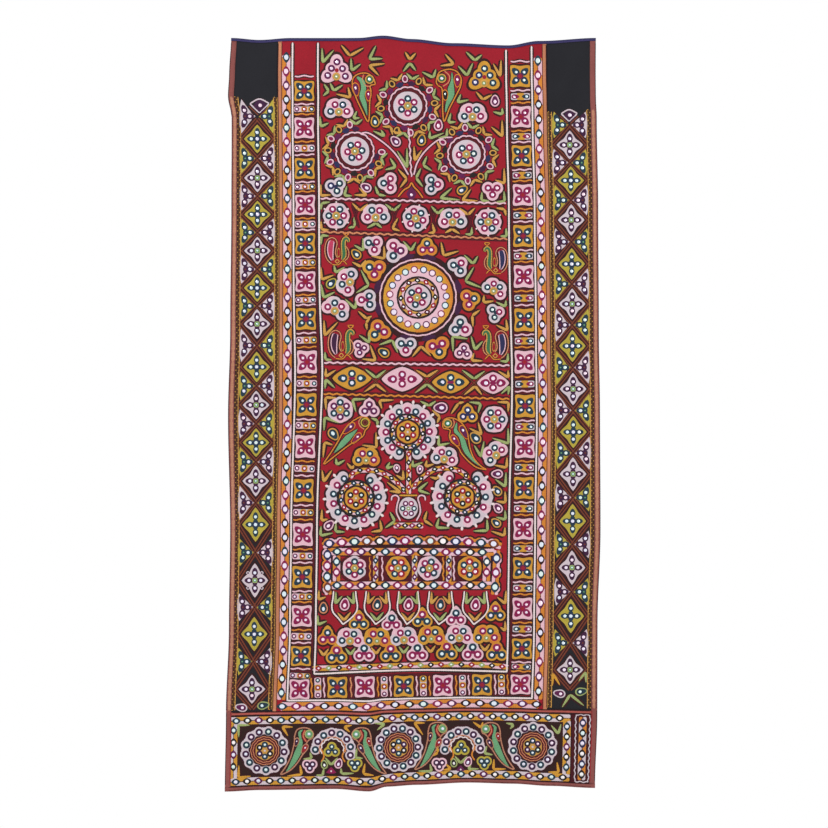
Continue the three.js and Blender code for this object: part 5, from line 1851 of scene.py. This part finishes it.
    def hearts(self) -> None:
        """The field's foot: hearts and half flowers, gold and pink by turns, and a strip of tiny mirrors."""
        m = self.motifs
        cold, warm = (TEAL, MAGENTA, MAGENTA), (MAGENTA, TEAL, TEAL)
        for k, (u, v) in enumerate(((359, 621.8), (391.8, 622.4), (422.3, 618.8), (456, 617.4),
                                    (495.4, 612.8))):
            m.triple(u, v, gold=k % 2 == 0, size=1.04, peak=3.8, rims=cold if k % 2 else warm)
        m.triple(327.6, 637, gold=True, size=1.02, peak=4, rims=cold)
        for k, (u, v) in enumerate(((350, 641), (376.9, 641), (404, 640), (431.2, 639), (459.3, 638),
                                    (486.4, 638))):
            m.fan(u, v, gold=k % 2 == 1, size=0.98, rims=(TEAL, MAGENTA))
        for k, (u, v) in enumerate(((336.6, 655), (364.2, 653), (390.7, 653.4), (417.4, 652.6),
                                    (446.8, 651.2),
                                    (472.7, 651.8), (496.8, 652.2))):
            m.triple(u, v, gold=k % 2 == 0, size=1.1, peak=3.6, rims=cold if k % 2 else warm)
        for k, u in enumerate((323.7, 350.4, 376, 403.8, 430.5, 459.5, 484.8)):
            v = 654.8 - 0.03 * (u - 323)
            m.vees(GREEN if k % 2 else TAN, (u - 5, v - 6, u, v, u + 5, v - 6.2))
        strip = curve((313.5, 668.4), (351.7, 667.4), (402.7, 665.6), (442.6, 664.5), (481.5, 664.9),
                      (507.5, 666.9))
        m.mirror_band(strip, 10.2, 5.4, GOLD, PINK, (BLACK, CRIMSON, GREEN), 1.3)


@dataclass
class HemWork(Work):
    """The hem band: strips of mirrors round wheels, arches and parrots, and the short end piece."""

    strip_width: float = 7.6

    def work(self) -> None:
        """Works the band and its end piece."""
        m, cloth = self.motifs, self.needle.cloth
        self.strips()
        # Dark lines along both edges of the hem seam trim: partly its dark border, partly painted shade along
        # it.
        for down in (1304.4, 1309.8):
            path = cloth.chart(np.linspace(-345, 345, 60), down)
            self.needle.line(DARK, path, 1.2, lift=2.3, rise=0.3)
        # Dark lines along the bottom binding's fold and its inner edge: painted shade.
        for down in (1445, 1450.6):
            self.needle.line(DARK, cloth.chart(np.linspace(-350, 350, 60), down), 0.9, lift=2.15, rise=0.3)
        low = np.linspace(1303, 1440, 12)
        for side in (-1, 1):
            # Dark line along the side binding's outer fold: painted shade.
            self.needle.line(DARK, cloth.chart(side * 355.7, low), 1.1, lift=2.1, rise=0.4)
            self.needle.line(CRIMSON, cloth.chart(side * 347.2, low), 1, lift=2.15, rise=0.3)
        m.wheel(264.9, 750.5, 19.2, first=-107, pitch=360 / 13, count=13, beaded=False)
        m.wheel(398.6, 747.4, 19.2, first=-104, pitch=360 / 14, count=14, beaded=False)
        m.wheel(532.6, 746.8, 19.6, first=-114, pitch=360 / 14, count=14, beaded=False)
        self.arch(333.2, 750.5, 183, 27.4, MAGENTA)
        self.arch(462.7, 749, 178, 25.8, PURPLE)
        for u, v, facing, lean in ((309.1, 734.1, 1, 0), (356.3, 734.1, -1, 2), (442.6, 728.6, 1, -1),
                                   (485.7, 729, -1, 0)):
            m.parrot(u, v, facing, SLANTED, 0.98, lean)
        m.vees(GREEN,
               (239, 737, 239, 725, 250, 725), (310, 752, 311, 758, 303, 759), (374, 723, 384, 724, 377, 730),
               (357, 748, 356, 757, 363, 758), (341, 768, 342, 773, 354, 773), (506, 723, 513, 725, 510, 729),
               (551, 725, 558, 733, 561, 724), (487, 746, 485, 753, 493, 755), (471, 765, 469, 769, 479, 769),
               (430, 764, 431, 771, 418, 771), (324, 768, 322, 775, 316, 775))
        m.vees(GOLD,
               (293, 727, 283, 727, 288, 736), (239, 765, 239, 777, 251, 776), (300, 765, 301, 774, 287, 776),
               (365, 763, 364, 773, 374, 775), (425, 723, 415, 723, 423, 735), (473, 722, 481, 727, 483, 722),
               (446, 764, 450, 769, 443, 770), (494, 759, 494, 769, 506, 769), (557, 762, 558, 772, 548, 772),
               (437, 745, 437, 752, 433, 756), (352, 725, 345, 727, 350, 732))
        self.end_piece()

    def strips(self) -> None:
        """The four strips of mirrors round the band, filled in lilac and gold."""
        cloth = self.needle.cloth
        rims = (BLACK, TEAL, BLACK, PURPLE)
        across = np.linspace(-347, 306, 40)
        down = np.linspace(1326, 1428, 10)
        for path, pitch in ((cloth.chart(across, 1320), 11.15), (cloth.chart(across, 1435.4), 11.3),
                            (cloth.chart(-341, down), 12.2), (cloth.chart(301, down), 10.2)):
            self.motifs.mirror_band(path, pitch, self.strip_width, LILAC, GOLD, rims, 2.2)

    def arch(self, u: float, v: float, first: float, pitch: float, base: Thread) -> None:
        """Eight mirrors in an open arch over three in gold, with drops, leaves and a small pyramid below.

        Args:
            u, v: the arch's centre on the chart.
            first: where its first mirror stands, in degrees.
            pitch: degrees from one mirror to the next.
            base: the pyramid's thread.
        """
        m, needle = self.motifs, self.needle
        places = [turned(u, v, first + pitch * k, 17.8) for k in range(8)]
        bed = round_path(u, v, 18.8, start=first, sweep=7 * pitch)
        # Dark bed under the lobes: partly outline stitching, partly painted shade round them.
        needle.line(DARK, bed, 11.4, lift=BED, rise=0.15)
        needle.line(LILAC, bed, 8.8, lift=FACE - 0.02, rise=0.45)
        m.cluster(places, (TEAL, PLUM), reach=5.4, warm=LILAC)
        needle.line(SALMON, round_path(u - 0.8, v - 0.5, 13.2, start=165, sweep=205), 1, LOW)
        needle.cord(WHITE, round_path(u - 0.8, v - 0.5, 10.8, 13, 1, 160, 215), 1.2, 1.8)
        m.triple(u - 1.4, v - 0.6, size=0.78, rims=(TEAL,), reach=6.6, fill=OLIVE)
        m.vees(GREEN, (u - 8, v + 7, u - 2, v + 13.6, u + 4.6, v + 7))
        m.drop(u - 8.8, v + 14.6, -100, GREEN, BLACK, 4)
        m.drop(u + 5.2, v + 13.6, -72, PINK, PURPLE, 4.5)
        needle.line(base, np.array([(u - 2, v + 16.5), (u - 2, v + 23)]), np.array([1, 12]), rise=0.5)
        needle.pad(WHITE, u - 2, v + 20.6, Outline(0.9), HIGH, 0.3)
        m.triple(u - 23.4, v + 15.2, 180, size=0.62, rims=(PLUM,), reach=8.4, fill=PINK, eye=1.5)
        m.triple(u + 21.6, v + 13.8, 180, size=0.62, rims=(TEAL,), reach=8.4, fill=OLIVE, eye=1.5)
        for side in (-1, 1):
            stroke = curve((u + side * 12.8, v - 3), (u + side * 9.2, v + 5.5), (u + side * 12, v + 11.5))
            needle.cord(ORANGE, stroke, 1.5, 1.4)

    def end_piece(self) -> None:
        """The end piece: a column of six mirrors in orange and lilac, inside a wavy frame."""
        cloth, needle = self.needle.cloth, self.needle
        column = cloth.chart(330.5, np.linspace(1318, 1437, 10))
        self.motifs.mirror_band(column, 10.3, 7.6, LILAC, ORANGE, (BLACK, NAVY), 2.4)
        corners = [cloth.chart(across, down) for across, down in (
            (317.5, 1312.5), (344, 1312.5), (343.5, 1442), (317.5, 1442))]
        for a, b in zip(corners, (*corners[1:], corners[0])):
            needle.cord(LILAC, wavy(a, b, 0.5, np.hypot(*(b - a)) / 6.4), 1.1, 1.6)


@dataclass
class BackWork(Work):
    """What shows from behind: flat seams where the cloths meet, and rows of running stitches."""

    dash: float = 4.0
    gap: float = 7.0

    def work(self) -> None:
        """Sews the seams and the rows."""
        cloth = self.needle.cloth
        long = np.linspace(6, cloth.hem_seam - 1, 130)
        wide = np.linspace(-346, 346, 80)
        for side in (-1, 1):
            self.seam(cloth.chart(side * cloth.side_seam, long))
            for across in (cloth.side_seam - 12, 190, cloth.side_seam + 10, 338):
                self.row(side * across, side * across, 14, cloth.hem_seam - 8)
        self.seam(cloth.chart(wide, cloth.hem_seam))
        self.seam(cloth.chart(cloth.hem_end_seam, np.linspace(cloth.hem_seam, 1446, 30)))
        for down in (14, 330, 650, 960, cloth.hem_seam - 10, cloth.hem_seam + 10, 1438):
            self.row(-340, 340, down, down)

    def seam(self, path: Array) -> None:
        """A flat felled seam."""
        self.needle.line(BLACK, path, 2.6, lift=-FACE - 0.02, rise=0.4)

    def row(self, left: float, right: float, top: float, bottom: float) -> None:
        """A row of running stitches between two places of the cloth, given across and down."""
        count = int(np.hypot(right - left, bottom - top) / (self.dash + self.gap))
        share = self.dash / (self.dash + self.gap)
        for k in np.arange(count) / count:
            ends = np.array([k, k + share / count])
            path = self.needle.cloth.chart(left + (right - left) * ends, top + (bottom - top) * ends)
            self.needle.line(TAN, path, 0.5, lift=-FACE - 0.02, rise=0.3)


@dataclass
class Studio:
    """Camera, lights, backdrop and floor."""

    lens: float = 120.0
    sensor: float = 36.0
    picture: float = 828.0
    dome_power: float = 0.58
    floor_drop: float = 1.86
    floor_radius: float = 1.35
    floor_sides: int = 64

    def build(self) -> None:
        """Sets up the view, the light and the floor."""
        scene = bpy.context.scene
        scene.view_settings.view_transform = "Standard"
        self.camera()
        self.world()
        self.light("key", Vector((-1.9, -2.6, 1.5)), 2.2, 52.0)
        self.light("fill", Vector((2.4, -2.8, -0.3)), 2.2, 20.0)
        self.floor()

    def aim(self) -> Vector:
        """The point at the middle of the picture."""
        middle = self.picture / 2.0
        return Vector(((middle - CHART_MIDDLE) * CHART_SQUARE * MM, 0.0,
                       -(middle - CHART_TOP) * CHART_SQUARE * MM))

    def camera(self) -> None:
        """A long lens that faces the hanging squarely."""
        data = bpy.data.cameras.new("camera")
        data.lens = self.lens
        data.sensor_width = self.sensor
        distance = self.picture * CHART_SQUARE * MM * self.lens / self.sensor
        camera = bpy.data.objects.new("camera", data)
        camera.location = self.aim() + Vector((0.0, -distance, 0.0))
        camera.rotation_euler = (np.pi / 2.0, 0.0, 0.0)
        bpy.context.scene.collection.objects.link(camera)
        bpy.context.scene.camera = camera

    def world(self) -> None:
        """A white backdrop for the camera and the mirrors, and a softer white dome that lights the cloth."""
        world = bpy.data.worlds.new("backdrop")
        bpy.context.scene.world = world
        world.use_nodes = True
        world.node_tree.nodes.clear()
        nodes = Nodes(world.node_tree)
        rays = nodes.add("LightPath").outputs
        plain = nodes.math("MAXIMUM", rays["Is Camera Ray"], rays["Is Glossy Ray"])
        white = linear((255, 255, 255))
        dome, seen = (nodes.add("Background", {"Color": white, "Strength": power}).outputs[0]
                      for power in (self.dome_power, 1.0))
        mix = nodes.add("MixShader", {0: plain, 1: dome, 2: seen})
        nodes.add("OutputWorld", {"Surface": mix.outputs[0]})

    def light(self, name: str, place: Vector, size: float, power: float) -> None:
        """A large soft square light aimed at the middle of the hanging."""
        data = bpy.data.lights.new(name, "AREA")
        data.size = size
        data.energy = power
        lamp = bpy.data.objects.new(name, data)
        lamp.location = place
        lamp.rotation_euler = (self.aim() - place).to_track_quat("-Z", "Y").to_euler()
        bpy.context.scene.collection.objects.link(lamp)

    def floor(self) -> None:
        """A round pale floor some way below the hem."""
        ring = around(self.floor_sides)
        flat = self.floor_radius * np.stack([np.cos(ring), np.sin(ring)])
        rim = np.stack([*flat, np.full(self.floor_sides, -self.floor_drop)], -1)
        mesh = bpy.data.meshes.new("floor")
        mesh.from_pydata(rim.tolist(), [], [list(range(self.floor_sides))])
        nodes = MaterialNodes("pale_floor")
        nodes.feed(nodes.shader, {"Base Color": linear((236, 234, 230)), "Roughness": 0.9})
        mesh.materials.append(nodes.material)
        floor = bpy.data.objects.new("floor", mesh)
        bpy.context.scene.collection.objects.link(floor)


@dataclass
class ClothPiece:
    """One cut of cloth: a thin closed sheet between two across limits and two down limits, in millimetres."""

    name: str
    slot: str
    rgb: tuple[int, int, int]
    left: float
    right: float
    top: float
    bottom: float
    step: float = 7.0

    def build(self, cloth: HungCloth) -> bpy.types.Object:
        """Builds the sheet: a front grid and a back grid on the hung shape, joined round the edges.

        Args:
            cloth: the hung shape.

        Returns:
            The finished piece, riding on the part and standing for its solid.
        """
        across = np.linspace(self.left, self.right, max(3, int((self.right - self.left) / self.step) + 1))
        down = np.linspace(self.top, self.bottom, max(3, int((self.bottom - self.top) / self.step) + 1))
        a, d = np.meshgrid(across, down)
        rows, columns = a.shape
        points = np.stack([cloth.on_cloth(a, d, FACE), cloth.on_cloth(a, d, -FACE)])
        coords = np.stack([np.stack([a, d], -1)] * 2) * MM
        front = grid_quads(rows, columns)
        back = front[:, ::-1] + rows * columns
        index = np.arange(rows * columns).reshape(rows, columns)
        loop = np.concatenate([index[0, :-1], index[:-1, -1], index[-1, :0:-1], index[:0:-1, 0]])
        nxt = np.roll(loop, -1)
        rim = np.stack([loop, nxt, nxt + rows * columns, loop + rows * columns], -1)
        parts = MeshParts()
        parts.add(points, coords, [front, back, rim])
        piece = parts.make(self.name + "_cloth", CottonFinish(self.name + "_cotton", self.rgb).material())
        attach(piece, "root")
        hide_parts(self.name)
        return piece

    def flat(self) -> tuple[float, float]:
        """Width and length of the cut in metres."""
        return (self.right - self.left) * MM, (self.bottom - self.top) * MM


@dataclass
class EdgeStrip:
    """A strip of cloth carried along an edge or a seam: a binding folded over the edge, or a flat trim.

    Its closed section runs through pairs of inset (millimetres from its guide line) and lift.
    """

    name: str
    slot: str
    rgb: tuple[int, int, int]
    section: Array
    guide: float
    start: float
    end: float
    upright: bool
    inward: float
    pucker: float = 0.25
    step: float = 5.0
    waves: tuple[float, float] = (13.0, 41.0)

    def build(self, cloth: HungCloth) -> bpy.types.Object:
        """Carries the section along the guide line with small sewn-in puckers, and closes both ends.

        Args:
            cloth: the hung shape.

        Returns:
            The finished piece, riding on the part and standing for its solid.
        """
        line = np.linspace(self.start, self.end, int((self.end - self.start) / self.step) + 1)
        inset, lift = self.section.T
        count = len(inset)
        short, long = (np.sin(line * 2.0 * np.pi / wave) for wave in self.waves)
        puff = 1.0 + self.pucker * short * long
        lifts = lift[None, :] * np.where(np.abs(lift) > FACE + 0.9, 0.9 + 0.1 * puff[:, None], 1.0)
        side = self.guide + self.inward * inset[None, :] + 0.0 * line[:, None]
        run = line[:, None] + 0.0 * inset[None, :]
        points = cloth.on_cloth(side, run, lifts) if self.upright else cloth.on_cloth(run, side, lifts)
        coords = np.stack([run, np.broadcast_to(np.arange(count), run.shape)], -1) * MM
        faces = grid_quads(len(line), count, wrap=True)
        if self.upright == (self.inward > 0):
            faces = faces[:, ::-1]
        caps = self.caps(count)
        parts = MeshParts()
        parts.add(points, coords, [faces, caps, caps[:, ::-1] + (len(line) - 1) * count])
        finish = CottonFinish(self.name + "_cotton", self.rgb, thread_pitch=1.0, fading=0.2)
        piece = parts.make(self.name + "_strip", finish.material())
        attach(piece, "root")
        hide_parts(self.name)
        return piece

    @staticmethod
    def caps(count: int) -> Array:
        """Quads that close an end of a section whose second half mirrors its first half."""
        k = np.arange(count // 2 - 1)
        return np.stack([k, k + 1, count - 2 - k, count - 1 - k], -1)

    def flat(self) -> tuple[float, float]:
        """Width before it was folded, and length, in metres."""
        rolled = np.concatenate([self.section, self.section[:1]])
        return float(np.hypot(*np.diff(rolled, axis=0).T).sum()) * 0.5 * MM, (self.end - self.start) * MM


def binding_section(cover: float) -> Array:
    """Closed section of a binding: outer face over the fold and back, then its inner face in the slot."""
    turn = np.linspace(-np.pi / 2.0, np.pi / 2.0, 7)
    fold = np.stack([1.1 - 1.1 * np.cos(turn), 2.3 * np.sin(turn)], -1)
    outer = np.concatenate([[(cover, -2.2), (0.6 * cover, -2.3)], fold, [(0.6 * cover, 2.3), (cover, 2.2)]])
    inner = np.stack([np.linspace(cover, 1.1, 2), np.full(2, 1.25)], -1)
    slot = np.concatenate([inner, inner[::-1] * (1.0, -1.0)])
    return np.concatenate([outer, slot])


def trim_section(half: float) -> Array:
    """Closed section of a trim: a low arch in front of the cloth, and its flat underside."""
    t = np.linspace(-1.0, 1.0, 7)
    over = np.stack([half * t, 1.35 + 1.1 * (1.0 - t ** 4)], -1)
    under = np.stack([half * t[::-1], np.full(7, 1.15)], -1)
    return np.concatenate([over, under])


def main() -> None:
    logging.basicConfig(level=logging.INFO, format="%(name)s: %(message)s")
    cloth = HungCloth()
    Studio().build()
    seam, hem, end = cloth.side_seam, cloth.hem_seam, cloth.hem_end_seam
    wide, long, tuck, gap = cloth.half_width, cloth.length, cloth.tuck, cloth.seam_gap
    edge, foot = wide - tuck, long - tuck
    cuts = (
        ClothPiece("centre_panel", "red_cotton", (160, 32, 46), -seam + gap, seam - gap, tuck, hem - gap),
        ClothPiece("left_strip", "black_cotton", (38, 38, 43), -edge, -seam - gap, tuck, hem - gap),
        ClothPiece("right_strip", "black_cotton", (38, 38, 43), seam + gap, edge, tuck, hem - gap),
        ClothPiece("hem_band", "hem_cotton", (52, 33, 30), -edge, end - gap, hem + gap, foot),
        ClothPiece("hem_end_piece", "maroon_cotton", (78, 26, 34), end + gap, edge, hem + gap, foot),
    )
    sheets = [(cut.build(cloth), cut) for cut in cuts]
    mauve, salmon, blue = (146, 84, 80), (204, 132, 98), (66, 60, 106)
    side, trim = binding_section(11.0), trim_section(3.6)
    top_end, foot_end, hem_end, hem_reach = 6.3, 1444.7, 1303.0, 345.7
    strips = (
        EdgeStrip("top_binding", "blue_binding", blue, binding_section(6.0), 0.0, -wide, wide, False, 1.0),
        EdgeStrip("bottom_binding", "edge_binding", mauve, binding_section(8.0), long, -wide, wide, False,
                  -1.0),
        EdgeStrip("left_binding", "edge_binding", mauve, side, -wide, top_end, foot_end, True, 1.0),
        EdgeStrip("right_binding", "edge_binding", mauve, side, wide, top_end, foot_end, True, -1.0),
        EdgeStrip("left_seam_trim", "seam_trim", salmon, trim, -seam, top_end, hem_end, True, 1.0),
        EdgeStrip("right_seam_trim", "seam_trim", salmon, trim, seam, top_end, hem_end, True, 1.0),
        EdgeStrip("hem_seam_trim", "seam_trim", (182, 92, 82), trim, hem, -hem_reach, hem_reach, False, 1.0),
    )
    made = [(strip.build(cloth), strip) for strip in strips]
    needle = Needlework(cloth)
    for work in (BorderWork(needle), LatticeWork(needle), FieldWork(needle), HemWork(needle),
                 BackWork(needle)):
        work.work()
    needle.make_pads()
    needle.make_rings()
    for thread, parts in needle.parts.items():
        piece = parts.make(thread.value.name, thread.value.material())
        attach(piece, "root")
        LOG.info("%s: %d faces", piece.name, len(piece.data.polygons))
    mirrors = needle.make_glass(GlassFinish().material())
    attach(mirrors, "root")
    LOG.info("mirrors: %d", len(needle.glass))
    for piece, cut in sheets:
        cut.flat()
    for piece, strip in made:
        if strip.name.endswith("_binding"):
            strip.flat()


if __name__ == "__main__":
    main()
